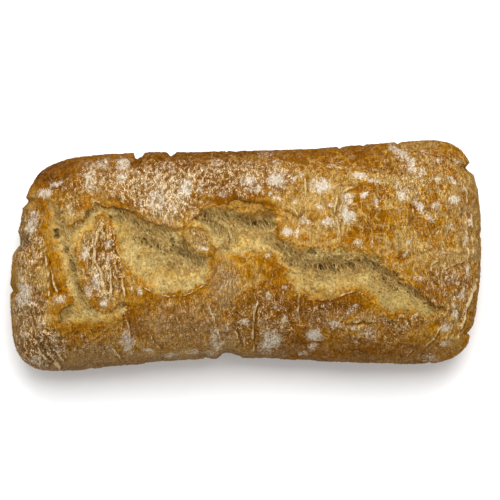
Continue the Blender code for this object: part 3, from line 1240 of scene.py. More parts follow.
@dataclass
class Marks:
    """Flour, browning with some painted shade, creases and small splits.

    A blot is x, y, half length, half width, turn in degrees, and strength. A line is its
    width, its strength, and its corners' x and y in turn.
    """

    flour: Stations = (
        (-75.5, 17, 4.6, 1.7, 75, 0.9), (-74.5, 20.5, 2.2, 1.2, -30, 0.8), (-70.5, 27.5, 2.7, 1.6, 0, 1),
        (-66, 30.5, 3, 0.9, 20, 0.9), (-79.6, -8, 5, 2.6, 90, 0.9), (-80.5, -2, 3, 1.2, 100, 0.6),
        (-74.2, -18.4, 1.8, 1.3, 90, 0.8), (-67, -10.5, 2.5, 1.5, 0, 0.7),
        (-76.4, -31.6, 2.6, 1.4, -20, 0.7), (-69.2, -29.4, 1.4, 1, 0, 0.8), (-50.2, -29.3, 2, 1.4, 0, 0.5),
        (-80.4, -21, 4.5, 1, 80, 0.5), (-54, 32, 5, 2.2, 90, 0.75), (-50, 37, 3, 2, 0, 0.7),
        (-41.5, 36.5, 3.2, 2.2, 0, 0.85), (-42.5, 32, 2.5, 2, 0, 0.9), (-57.5, 5.5, 2.6, 1.5, 75, 0.95),
        (-54, -5, 4.2, 2.8, 90, 0.75), (-56.5, -8.5, 2.6, 1.6, 80, 0.8), (-51.5, -13, 2.2, 1.6, 0, 0.85),
        (-49, 8, 1.8, 1.4, 90, 0.8), (-49, 3, 1.8, 1, 90, 0.6), (-61.8, 20.8, 2.8, 0.8, -60, 0.7),
        (-30, 24, 6, 4, 90, 0.75), (-25.5, 18, 4, 2.4, 70, 0.6), (-33.5, 28.5, 4, 2, 100, 0.5),
        (-36.5, 21.5, 3, 1.6, 80, 0.45), (-22.5, 24, 2.4, 1.4, 90, 0.5), (-20, 26.8, 3.6, 2.2, 85, 1.15),
        (-14.5, 26.5, 2.2, 1.6, 90, 0.7), (-27, 31, 4, 2, 0, 0.5), (-7, 23.5, 2.2, 1.2, 0, 0.8),
        (-9, 34, 3, 2.4, 0, 0.5), (2.5, 28, 3, 2.6, 0, 0.8), (5, 25, 2, 1.8, 0, 0.8),
        (9, 37, 3, 2.2, 0, 0.5), (12.8, 28, 3, 2.6, 0, 1.2), (13, 33, 2.5, 1.8, 90, 0.6),
        (10, 23.5, 1.2, 1, 0, 0.8), (12.5, 21.5, 1.6, 0.8, -20, 0.85), (18.8, 19.8, 1, 0.7, 90, 0.9),
        (19, 28.5, 1.4, 1, 60, 0.7), (21.5, 30, 2.4, 0.8, 110, 0.8), (28.4, 25.2, 4, 2.3, -8, 1),
        (34, 33, 3, 2, 0, 0.45), (43, 28, 3, 1.2, -12, 0.95), (48, 26, 3, 0.9, -15, 0.8),
        (44, 21.2, 1.8, 1, 45, 0.85), (48, 17.5, 2.4, 0.9, 80, 0.6), (22.3, 13, 1.9, 1.6, 0, 0.85),
        (30.5, 12, 2.3, 1.6, 0, 1), (28, 17.4, 1.5, 0.8, -20, 0.8), (31.8, 18, 1.1, 0.8, 0, 0.75),
        (37.5, 13.8, 3.4, 2.2, 110, 1.1), (38.2, 19.7, 2.2, 2, -30, 1), (41, 4.2, 1.6, 0.8, -20, 0.85),
        (46, 4, 2, 1, 90, 0.5), (55.5, 23.5, 1.8, 0.8, 70, 0.7), (57.8, 20.2, 2.6, 1.7, 120, 1),
        (63.2, 16.4, 3.4, 1.5, -50, 0.9), (66.8, 11.5, 2.2, 1, -70, 0.8), (69.3, 16, 1.5, 1.3, 90, 0.85),
        (70.5, 25, 1.4, 1, 90, 0.7), (76, 17.5, 1.9, 1.7, -20, 0.95), (76, 24.5, 2.4, 1, -45, 0.8),
        (79, 22, 2.6, 0.8, -70, 0.8), (57.5, 35.5, 4.2, 1.6, -35, 0.85), (61.5, 30.5, 3.2, 1.9, -60, 0.9),
        (65, 28, 2, 1.2, 90, 0.85), (65.5, 35, 1.4, 1, 90, 0.6), (77.5, 31, 1.4, 1.2, 90, 0.6),
        (71.3, 32, 1.3, 0.8, 0, 0.7), (74, 8, 1.6, 1.5, 0, 0.7), (69, 6, 1.2, 0.9, 90, 0.7),
        (80.8, 9, 1.4, 1.2, 90, 0.75), (79.5, 3.5, 2.2, 1, 80, 0.75), (59, 3.3, 1.1, 0.8, 0, 0.8),
        (57, -1.2, 1.3, 0.9, 0, 0.8), (71, -1, 2, 0.8, 90, 0.5), (62, -10, 1.8, 1.2, 0, 0.65),
        (79.5, -8, 2, 0.8, 90, 0.75), (74, -12, 2.6, 1.5, 0, 0.45), (77, -16.5, 2, 1.6, 70, 0.7),
        (74, -22.5, 3, 0.9, 98, 0.9), (70.5, -28, 2, 1.4, 15, 0.95), (69.5, -33.5, 1.6, 1.2, 0, 0.7),
        (64, -38.5, 4, 1.4, 0, 0.5), (23.4, -28.2, 2.7, 2.2, 0, 1.1), (22.5, -32.5, 1.8, 1.2, 20, 0.7),
        (19.5, -34.5, 2, 0.8, 0, 0.7), (27, -18, 1.4, 0.8, 0, 0.6), (37, -20, 4.6, 1, 42, 0.6),
        (31, -25, 2.4, 1.8, 0, 0.6), (38, -26.5, 3, 0.9, 0, 0.6), (43, -28.5, 2.4, 2.2, 0, 0.6),
        (7.6, -30, 4.2, 3, 30, 0.9), (7, -27, 2.6, 1.6, 0, 0.7), (12, -22, 2.2, 1.6, 0, 0.6),
        (10, -17.5, 1.6, 1.2, 0, 0.65), (7.4, -13.2, 1.6, 0.9, 90, 0.85), (-1, -22.3, 1.8, 1, 0, 0.85),
        (4, -22.5, 1, 0.8, 90, 0.7), (-2, -28.5, 1.2, 0.8, 0, 0.7), (8.3, 1.2, 1.1, 1, 0, 0.9),
        (11.5, -2, 1.6, 1.2, 70, 0.5), (15.6, 9.3, 2, 1.6, -20, 0.95), (19.2, 9, 1.6, 0.8, 80, 0.7),
        (13.5, -10.5, 1.6, 0.8, 0, 0.6), (-36.5, -30.5, 2.4, 0.8, 0, 0.8), (-28, -33, 4, 1, 0, 0.6),
        (-21, -32, 3, 0.9, 0, 0.6), (-12, -28, 5, 3, 90, 0.55), (-14, -33, 3, 1.4, 0, 0.6),
        (-8, -24, 2, 1.4, 90, 0.6), (-13, -19.5, 1.5, 1.3, 0, 0.6), (-43.5, -27, 4.4, 2.6, 90, 0.8),
        (-38.5, -9, 1.6, 1.2, 90, 0.75), (-41.5, -9, 1.8, 1, 90, 0.6), (-14.6, 4.8, 1.9, 0.9, -15, 0.85),
        (-16.4, 6.2, 1.6, 0.9, -30, 0.5), (-8, -9, 4, 2.4, 90, 0.3))
    mottle: Stations = (
        (-28, 27, 17, 13, 0, 1), (-4, 29, 16, 11, 0, 0.72), (12, 30, 10, 9, 0, 0.48),
        (-50, 30, 9, 10, 0, 0.6), (-61, 25, 8, 7, 0, 0.55), (-77, 10, 6, 14, 0, 0.65),
        (-78, -12, 6, 10, 0, 0.75), (-75, -27, 9, 8, 0, 0.8), (62, 28, 14, 12, 0, 0.38),
        (70, 10, 12, 14, 0, 0.22), (72, -16, 10, 12, 0, 0.5), (45, -27, 14, 8, 0, 0.35),
        (56, -25, 9, 3, 0, 0.7), (5, -23, 14, 12, 0, 0.42), (-20, -22, 20, 12, 0, 0.25),
        (-54, -26, 12, 8, 0, 0.3), (-7, -7, 4.5, 8, 0, 0.3), (-51, 2, 8, 16, 0, 0.85),
        (28, -22, 10, 8, 0, 0.35), (42, 12, 12, 9, 0, 0.1), (-16, 8, 4.6, 4, -35, 0.5),
        (30, 30, 10, 4, 0, 0.25))
    haze: Stations = (
        (-24, -23, 19, 10, 0, 0.75), (-46, -29, 9, 7, 0, 0.5), (-10, -30, 7, 9, 0, 0.9),
        (7, -29, 6, 5, 0, 0.7), (-82, -22, 3, 14, 0, 0.9), (-50, -34.5, 26, 3.4, 4, 1.1),
        (-81, 12, 3, 16, 0, 0.7), (74, -8, 9, 8, 0, 0.5), (38, -25, 13, 5, 0, 0.45),
        (26, -23, 7, 5, 0, 0.45), (64, -35, 13, 4, 0, 0.45), (-78, -12, 6, 10, 0, 0.7),
        (-74, -30, 9, 8, 0, 0.8), (72, -14, 10, 10, 0, 0.4), (-52, 31, 10, 8, 0, 0.5),
        (-28, 27, 14, 11, 0, 0.35), (0, 32, 26, 8, 0, 0.4), (66, 30, 14, 9, 0, 0.3),
        (-62, 27, 8, 6, 0, 0.3), (-8, -9, 6, 9, 0, 0.9), (1, -11, 8, 5, 0, 0.4), (-52, -4, 6, 12, 0, 0.3),
        (-58, -31, 12, 5, 0, 0.85), (80, 2, 5, 26, 0, 0.55), (-20, -35, 60, 3.5, 3, 0.6),
        (44, -40, 40, 3.5, -4, 0.6))
    # Browning blots. The darker ones along the front and the one at 64, -13 under the right tear's lip are
    # painted shade as well.
    brown: Stations = (
        (-68, 35, 10, 5, -10, 1), (-28, 22, 14, 10, 0, -0.3), (-40, 40, 40, 4, 0, 0.35),
        (0, 39, 30, 4, 0, 0.4), (47, 35, 10, 6, 0, 0.25), (37, 36, 8, 4, 0, 0.2), (74, 37, 10, 6, -20, 0.3),
        (0, -21, 14, 9, 0, 0.3), (17, -24, 9, 9, 0, 0.4), (50, -33, 14, 5, 0, 0.28),
        (55, -25, 10, 4, 0, 0.15), (-42, -21, 4, 6, 0, 0.4), (28, -17.4, 12, 3.6, 0, 0.8),
        (64, -13, 4, 2, -40, 0.3), (50, -30, 16, 5, 0, -0.12), (-45, -22, 4, 2.5, 0, -0.2),
        (10, -3, 5, 5, 0, 0.3), (0, -7, 9, 8, 0, -0.2), (-16, 8, 5, 4, 0, -0.6),
        (-57.5, 11, 5, 4, 0, -0.25), (-55, -23, 10, 4, 0, 0.15), (-75, -30, 10, 6, 0, 0.15),
        (80, 4, 5, 22, 0, -0.05), (31, 36, 11, 4, 0, 0.4), (26, -34, 18, 4, 0, 0.4),
        (-72, 20, 3, 6, 0, 0.2), (76, -8, 7, 8, 0, 0.25), (48, 35.5, 8, 4, 0, 0.12),
        (-78, 0, 6, 20, 0, -0.14), (-51, 0, 6, 12, 0, -0.3), (56, 31, 5, 3, -20, 0.25),
        (47, 17, 6, 7, 0, 0.3), (40, 6.5, 8, 2.5, 5, 0.4), (56, -2.5, 1.8, 2.2, 20, 0.6),
        (67, 12, 6, 7, 0, 0.2), (25, 22, 5, 5, 0, -0.35), (34.5, 15, 3, 10, 0, -0.45),
        (57, 4, 5, 5, 0, -0.35), (75, -4, 6, 3, 15, -0.45), (62, 24, 4, 6, -30, -0.25),
        (52, 26, 9, 2, -10, -0.3), (-30, -18, 12, 8, 0, 0.28), (-20, 33, 14, 6, 0, 0.2),
        (-5, 24, 16, 4, 0, 0.25), (32, 14, 17, 10, 0, -0.05), (20, -10, 14, 3, 0, 0.2),
        (-57, 11, 4, 4, 0, -0.2), (-74, -2, 6, 6, 0, -0.1), (64, -2, 10, 6, 0, -0.1))
    pale_lines: Stations = (
        (0.4, 0.8, -71.4, 5, -70.6, -1, -70.6, -9), (0.35, 0.8, -70, 1, -68.9, -4, -67.8, -8.6),
        (0.55, 1, -52.4, 12, -53.6, 7, -54, 3, -52.2, -1, -51.4, -7), (0.45, 0.8, -48.6, -1, -48.4, -10),
        (0.42, 0.8, -44.6, -4, -43.8, -10.6), (0.35, 0.7, -50.6, 15, -50, 9, -50.4, 4),
        (0.3, 0.6, -46.6, 2, -46.2, -3, -45.6, -9), (0.4, 0.7, -44.4, -16, -43.2, -21, -42.6, -27),
        (0.32, 0.8, -35, -25.4, -34, -28, -31, -30),
        (0.36, 0.8, -14, -16, -12.4, -20, -11.4, -24, -10.4, -28),
        (0.32, 0.6, -17.2, -14, -15.2, -18.4, -13.6, -23), (0.34, 0.8, -5, -25, -3.8, -28.4, -3, -30.4),
        (0.4, 0.9, 3.8, -15.6, 2.2, -19.4, 1.6, -24, 1.2, -32), (0.3, 0.7, 10, -13, 10.1, -16.8),
        (0.32, 0.6, 13, -12, 13.3, -15, 14.2, -18), (0.32, 0.8, 18.8, -13, 18.3, -17, 17.8, -20.4),
        (0.36, 0.8, 34.4, 20.4, 33.2, 17, 33.2, 14, 34.2, 9, 34.6, 5.4),
        (0.3, 0.6, 36, 20, 34.9, 15, 34.6, 11), (0.34, 0.8, 23.2, 29.4, 23, 25, 23.6, 22.2),
        (0.32, 0.7, -77.8, -17.1, -76, -21.9), (0.6, 0.9, -72.7, -29.7, -68.6, -35.1),
        (0.32, 0.7, -79.1, -23.8, -76, -28, -72.8, -32, -68.6, -35.4),
        (0.3, 0.7, -76.1, -22.3, -73.8, -25.4, -71.4, -28.9), (0.34, 0.8, -70.2, -28.2, -66.9, -32.4),
        (0.34, 0.6, -49.2, -29.6, -47, -32, -45.6, -34), (0.5, 0.6, 79.8, 16, 80, 9, 79.4, 1, 80, -7),
        (0.55, 0.9, 82, -11, 80, -17, 77.8, -22, 75.8, -28, 74.6, -31.6),
        (0.45, 0.8, 78.6, 25, 80.2, 19, 80.4, 16), (0.4, 0.5, 83.2, 3, 82.8, -5, 82, -11),
        (0.4, 0.6, 81.4, 12, 81.8, 4, 81.2, -4), (0.4, 0.6, 15.6, 17.6, 18.8, 16.4, 21, 13.6),
        (0.45, 0.6, 60.4, -37, 63, -34.2, 66, -31.4, 69.4, -26.6), (0.4, 0.5, 56, -37.4, 60, -33.2),
        (0.8, 0.5, 53.2, 9, 52.5, 5, 53.2, 0.8), (0.8, 0.5, 60.2, 19.2, 61.2, 15, 60, 10.4),
        (0.8, 0.5, 66, -9, 66.8, -5, 70, -3.4), (0.5, 0.5, 71, -7.2, 75, -5.6, 79, -4.2),
        (0.5, 0.4, 70, -1.4, 77, -1), (0.6, 0.5, 36, 22, 39.5, 24, 43, 24.4), (0.4, 0.6, 31, 31.6, 38, 31),
        (0.8, 0.5, 36, -24.6, 41, -24.2, 46, -24.4), (1.2, 0.35, 52, 32, 56, 33),
        (0.32, 0.6, -6, -22, -9, -23.4, -8.6, -26),
        (0.34, 0.75, 18, -12.7, 22, -14.1, 24.8, -15.5, 28, -16.1, 31.1, -15.8, 33.6, -14.7, 36, -14, 39.4,
         -13.2, 42, -14.8),
        (0.32, 0.6, -10.9, -1.5, -12.3, -4.9, -15.1, -8.2, -18.6, -10.3, -22.9, -11.6, -28.1, -11.6, -33,
         -10.2, -37, -8))
    cracks: Stations = (
        (0.3, 0.5, -77.6, -23.4, -73.4, -29.4, -70.6, -33), (0.3, 0.5, -74.4, -22, -70.6, -27.4),
        (0.3, 0.6, -66, -26.4, -64.2, -29.2), (0.3, 0.5, -62.6, -26, -61.4, -28.6),
        (0.3, 0.6, 23.4, 24, 23.6, 22.2), (0.35, 0.5, 53, 8.6, 52.4, 5, 53, 1.4),
        (0.8, 1, 60, 12, 59.9, 10.2), (0.4, 0.5, 60.2, 16.6, 61.6, 15), (0.4, 0.8, -1.8, 22.1, 0.2, 22.2),
        (0.5, 0.6, 36, 25, 43, 25), (0.3, 0.6, 45, -6, 47, -7), (0.5, 0.9, -38.6, 36.4, -36, 38.6),
        (0.4, 0.5, -39.6, 30, -40.2, 24, -40.6, 21.4), (0.3, 0.4, 78.4, 11, 78.6, 14),
        (0.28, 0.4, 33.6, 18, 33.4, 14), (0.3, 0.3, -55, 34, -58, 35),
        (0.35, 0.4, 77, 26, 79.6, 20, 79.8, 16), (0.35, 0.4, 65, -6, 67.4, -9.4),
        (0.35, 0.5, 35, -25.2, 44, -25), (0.35, 0.5, -70.2, 3, -69.6, -4, -69.4, -9),
        (0.3, 0.4, -53, 8, -53.2, 1, -51.8, -5), (0.3, 0.6, 20.6, 16, 21.8, 17.6),
        (0.35, 0.8, 19.5, 14, 21.6, 15.9), (0.3, 0.6, 14.6, 17.4, 17.4, 16, 18.6, 14.6),
        (0.8, 0.75, -10, 21.7, -3, 22.2, 1, 21, 4, 20.2, 8, 19.9, 11, 18.9))
    flour_edge: Pair = (0.75, 0.6)
    mottle_edge: Pair = (0.45, 0.3)
    brown_edge: Pair = (0.6, 0.3)
    haze_edge: Pair = (0.55, 0.4)
    blot_wave: float = 2.6
    line_wave: float = 4.0
    line_stray: float = 0.5
    line_gain: float = 1.4
    waver_wave: float = 2.2
    waver_range: Pair = (0.2, 1.2)
    grain: Noise = Noise(23)

    def blots(self, x: Array, y: Array, blots: Stations, soft: float, stray: float) -> Array:
        """Lay blots with uneven edges.

        Args:
            x: Places along the roll, as seen.
            y: Places across it, as seen.
            blots: The blots.
            soft: Share of a blot's reach over which it fades.
            stray: How uneven its edge is, as a share of its reach.

        Returns:
            The strongest blot's strength at each point, or the sum where some are negative.
        """
        wander = self.grain.layered(level_points(x, y), self.blot_wave, 3, 0.6) * stray
        summed = any(blot[-1] < 0 for blot in blots)
        total = np.zeros_like(x)
        for *oval, strength in blots:
            cover = strength * smooth_step(1 + soft, 1 - soft, oval_reach(x, y, oval) + wander)
            total = total + cover if summed else np.maximum(total, cover)
        return total

    def lines(self, x: Array, y: Array, lines: Stations, widen: float = 1.0) -> Array:
        """Lay soft lines, each fading at its width.

        Args:
            x: Places along the roll, as seen.
            y: Places across it, as seen.
            lines: The lines.
            widen: How much wider than given they are laid.

        Returns:
            The strongest line's strength at each point.
        """
        here = level_points(x, y)
        waver = np.clip(0.9 + 1.1 * self.grain.layered(here + 80, self.waver_wave, 2), *self.waver_range)
        x = x + self.grain.layered(here, self.line_wave) * self.line_stray
        y = y + self.grain.layered(here + 40, self.line_wave) * self.line_stray
        total = np.zeros_like(x)
        for width, strength, *corners in lines:
            path = np.reshape(corners, (-1, 2))
            total = np.maximum(total, strength * ridge(distance_to_path(x, y, path), width * widen))
        return np.clip(total * waver * self.line_gain, 0, 1)


# ---------------------------------------------------------------- the crust


@dataclass
class Crust:
    """The roll's closed skin."""

    loaf: Loaf
    tears: Tears
    lens: Lens
    marks: Marks
    box: Box
    cells: tuple[int, int, int] = (396, 196, 16)
    base_lines: tuple[int, int] = (66, 28)
    pocket: float = 3.5
    pocket_reach: float = 0.7
    hem_overlap: float = 1.0
    close: float = 1e-5
    base_relief: float = 0.12
    base_wave: float = 4.0
    base_rim: float = 0.8
    grounded_below: float = 2.5
    hem_zone: Pair = (0.35, 0.65)
    shown_above: Pair = (3.0, 10.0)
    lump_wave: float = 9.0
    pebble_wave: float = 2.3
    fold_wave: float = 2.0
    fold_stretch: Triple = (1.0, 0.55, 0.8)
    patch_wave: float = 7.0
    pale_rise: float = 0.7
    beside_depth: float = 0.45
    crack_depth: float = 1.1
    flour_rise: float = 0.12
    torn_rise: float = 0.3
    edge_reach: float = 1.8
    plain_end: Pair = (50.0, 60.0)
    front_rim: Pair = (-30.0, -36.0)
    back_rim: Pair = (10.0, 25.0)
    plain_hems: tuple[Zone, Zone] = ((-22, 13), (29, 10))
    lump: Noise = Noise(3)
    wrinkle: Noise = Noise(5)

    def block(self) -> Mesh:
        """Make the -1 to 1 block of cells, fine on top and round the sides, coarse below.

        Returns:
            The block's mesh, with its bake map.
        """
        block = bmesh.new()
        bmesh.ops.create_cube(block, size=2.0)
        for axis, count in enumerate(self.cells):
            along = [edge for edge in block.edges if abs((edge.verts[0].co - edge.verts[1].co)[axis]) > 1]
            bmesh.ops.subdivide_edges(block, edges=along, cuts=count - 1, use_grid_fill=True)
        below = [face for face in block.faces if face.calc_center_median().z < -1 + self.close]
        bmesh.ops.delete(block, geom=below, context="FACES")
        rim = [edge for edge in block.edges if edge.is_boundary]
        underside = bmesh.ops.holes_fill(block, edges=rim, sides=0)["faces"]
        self.rule(block, underside)
        bmesh.ops.recalc_face_normals(block, faces=block.faces)
        mesh = mesh_from("crust", block)
        self.map_block(mesh)
        return mesh

    def rule(self, block: bmesh.types.BMesh, underside: list) -> None:
        """Cut the underside along every few columns and rows of cells.

        Args:
            block: The block of cells, which is changed.
            underside: The faces of its underside.
        """
        for axis, count in enumerate(self.base_lines):
            every = self.cells[axis] // count
            normal = np.eye(3)[axis]
            for step in range(every, self.cells[axis], every):
                parts = {face for face in underside if face.is_valid}
                for face in tuple(parts):
                    parts.update(face.edges)
                    parts.update(face.verts)
                place = normal * (-1 + 2 * step / self.cells[axis])
                cut = bmesh.ops.bisect_plane(block, geom=list(parts), dist=self.close, plane_co=place,
                                             plane_no=normal)
                underside = [part for part in cut["geom"] if isinstance(part, bmesh.types.BMFace)]

    def map_block(self, mesh: Mesh) -> None:
        """Lay the block out flat for baking: top above, underside and side strips below.

        Args:
            mesh: The block, from -1 to 1, which gets its bake map.
        """
        vertex, face = corner_tables(mesh)
        facing_x, facing_y, facing_z = read_rows(mesh.polygons, "normal")[face].T
        across, along, up = ((vertex_places(mesh) + 1) / 2)[vertex].T
        patches = (
            (facing_z > 0.5, across, along, (0.01, 0.98, 0.51, 0.48)),
            (facing_z < -0.5, across, along, (0.01, 0.52, 0.24, 0.25)),
            (facing_y < -0.5, across, up, (0.01, 0.98, 0.01, 0.10)),
            (facing_y > 0.5, across, up, (0.01, 0.98, 0.12, 0.10)),
            (facing_x < -0.5, along, up, (0.55, 0.44, 0.24, 0.10)),
            (facing_x > 0.5, along, up, (0.55, 0.44, 0.36, 0.10)))
        u, v = np.zeros(len(vertex)), np.zeros(len(vertex))
        for facing, run, rise, (left, wide, foot, tall) in patches:
            u = np.where(facing, left + wide * run, u)
            v = np.where(facing, foot + tall * rise, v)
        write_map(mesh, u, v)

    def spread(self, shares: Array, axis: int) -> Array:
        """Space the block's even columns or rows along the arc of the roll's section.

        Args:
            shares: Shares of the half span, evenly spaced.
            axis: 0 along the roll, 1 across it.

        Returns:
            The shares, spaced along the arc.
        """
        loaf = self.loaf
        squareness = loaf.end_squareness if axis == 0 else loaf.side_squareness
        reach = loaf.half_length if axis == 0 else loaf.half_width
        rise = loaf.height - loaf.girth
        steps = loaf.even_steps(lambda t: rise * loaf.crown(t ** squareness), reach, self.cells[axis])
        return np.interp(shares, np.linspace(-1, 1, self.cells[axis] + 1), steps)

    def shape(self, mesh: Mesh) -> dict[str, Array]:
        """Map the block onto the roll and raise its relief.

        Args:
            mesh: The block, which is changed.

        Returns:
            The shares of flour, browning and so on at each vertex.
        """
        loaf = self.loaf
        cells = vertex_places(mesh)
        u, v, rim = loaf.round_plan(self.spread(cells[:, 0], 0), self.spread(cells[:, 1], 1))
        turn = (1 - cells[:, 2]) / 2 * math.pi / 2
        on_top = cells[:, 2] > 1 - self.close
        tuck = loaf.base_inset * (1 - np.cos(turn))
        x, y = loaf.place(u, v)
        x, y = x * (1 - tuck / loaf.half_length), y * (1 - tuck / loaf.half_width)
        inland = np.where(on_top, loaf.inland(rim), 0.0)
        z = np.where(on_top, loaf.level(x, y, rim), loaf.girth * (1 - np.sin(turn)))
        seen_x, seen_y = self.lens.seen(x, y, z)
        tear = self.tears.measure(seen_x, seen_y)
        clean = smooth_step(*self.hem_zone, tear.share) * self.tears.hardness(seen_x)
        start = self.hem_overlap * (1 - clean)
        torn = smooth_step(0, self.pocket_reach, tear.edge - start)
        sunk = (self.tears.sunk(seen_x, seen_y, tear) + self.pocket) * torn
        z = z + inland * (self.tears.lip(seen_x, tear) - sunk)
        x, y = loaf.dented(x, y, z)
        places = np.column_stack((x, y, z))
        move_vertices(mesh, places)
        rise, shares = self.relief(places, seen_x, seen_y, tear, inland)
        rise *= smooth_step(0.0, self.grounded_below, z)
        places += vertex_normals(mesh) * rise[:, None]
        base = np.clip(self.wrinkle.layered(places, self.base_wave), 0, 1) * (rim < self.base_rim)
        places[:, 2] += np.where(z < self.close, self.base_relief * base, 0)
        self.box.settle(places)
        move_vertices(mesh, self.box.fit(places) * MM)
        return shares

    def relief(self, places: Array, x: Array, y: Array, tear: TearField,
               inland: Array) -> tuple[Array, dict[str, Array]]:
        """Work out the crust's relief and the shares that its material reads.

        Args:
            places: Points of the crust before its relief.
            x: Their places along the roll, as seen.
            y: Their places across it, as seen.
            tear: Their measures against the openings.
            inland: How far they are from the rim.

        Returns:
            The rise along the normal, and the named shares.
        """
        marks = self.marks
        shown = smooth_step(*self.shown_above, places[:, 2])
        flour = marks.blots(x, y, marks.flour, *marks.flour_edge) * (0.3 + 0.7 * shown)
        mottle = marks.blots(x, y, marks.mottle, *marks.mottle_edge)
        brown = marks.blots(x, y, marks.brown, *marks.brown_edge)
        haze = marks.blots(x, y, marks.haze, *marks.haze_edge)
        pale = marks.lines(x, y, marks.pale_lines) * shown
        # The side of each pale line away from the light: a groove, and painted shade in the colour.
        shaded_side = marks.lines(x - 0.55, y + 0.25, marks.pale_lines, 1.1) * shown
        shaded_side = np.clip(shaded_side - 0.6 * pale, 0, 1)
        crack = marks.lines(x, y, marks.cracks) * shown
        upper = smooth_step(0.0, 0.35, inland)
        lumps = self.lump.layered(places, self.lump_wave) * (0.5 + 0.6 * upper)
        pebbles = self.lump.layered(places + 90, self.pebble_wave, 3, 0.7) * (0.2 + 0.6 * upper)
        leather = self.wrinkle.folds(places * np.array(self.fold_stretch), self.fold_wave)
        wrinkled = 0.3 + 0.7 * smooth_step(0.2, 0.8, mottle)
        furrow = smooth_step(0.36, 0.06, leather) * wrinkled
        rise = lumps + pebbles + (leather - 0.4) * wrinkled
        rise = rise + self.pale_rise * pale - self.beside_depth * shaded_side
        rise = rise - self.crack_depth * crack + self.flour_rise * flour
        rise = np.where(tear.edge > 0, rise * self.torn_rise, rise)
        frayed = (1 - self.tears.hardness(x)) * (tear.lip > 0.5)
        outside = np.minimum(tear.edge, 0)
        reach = self.edge_reach
        edge_tint = ridge(outside + 0.2 + reach * frayed, reach) * np.where(tear.lip > 0.5, 0.75, 0.5)
        edge_tint = edge_tint * (1 - 0.7 * smooth_step(*self.plain_end, x))
        plain = sum(within(x, zone) for zone in self.plain_hems)
        edge_tint = edge_tint * (1 - 0.7 * plain * (tear.lip < 0.5))
        patchy = 0.55 + 0.9 * self.lump.layered(places + 200, self.patch_wave, 2)
        # The front rim is darkened and greyed, as painted shade.
        low = smooth_step(*self.front_rim, y)
        gap = self.loaf.gap(x, y)
        behind = smooth_step(*self.back_rim, y)
        mottle = mottle * (1 - 0.75 * behind * smooth_step(6.0, 1.0, gap))
        # Painted shade near the outline and down the sides, a little more along the back.
        painted_rim_shade = 0.20 * smooth_step(3.0, 0.0, gap) + 0.08 * behind * smooth_step(8.0, 1.0, gap)
        shares = {
            "bare": ridge(outside, 1.5) * frayed,
            "painted_rim_shade": painted_rim_shade,
            "flour": flour * (1 - crack),
            "mottle": np.clip(0.08 + mottle - 0.6 * edge_tint, 0, 1),
            "veins": smooth_step(12.0, 28.0, x) * smooth_step(-16.0, -4.0, y),
            # Browning, with painted shade in cracks, on the shaded side of pale lines and towards the front
            # rim.
            "brown": np.clip(0.3 + brown + 0.5 * crack + 0.3 * shaded_side + 0.2 * low, -0.5, 1.3),
            "toast": np.clip(edge_tint * np.clip(patchy, 0, 1.2), 0, 1) * np.clip(inland * 2, 0, 1),
            "pale": pale * (1 - 0.5 * crack),
            "crest": smooth_step(0.5, 0.85, leather) * wrinkled,
            # Grey flour haze, with more towards the front rim as painted shade.
            "haze": np.clip(haze + low * (0.15 + 0.4 * smooth_step(12.0, -6.0, x)), 0, 1),
            # Painted shade in furrows and cracks and on the shaded side of pale lines; it also thins the
            # flour there.
            "furrow": np.clip(furrow + crack + 0.6 * shaded_side, 0, 1),
        }
        return rise, shares

    def build(self) -> Piece:
        """Make the crust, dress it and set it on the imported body.

        Returns:
            The finished piece.
        """
        mesh = self.block()
        piece = dressed("crust", mesh, self.shape(mesh), CrustFinish().build())
        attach(piece, "root")
        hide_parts(NODE)
        return piece


# ---------------------------------------------------------------- the crumb


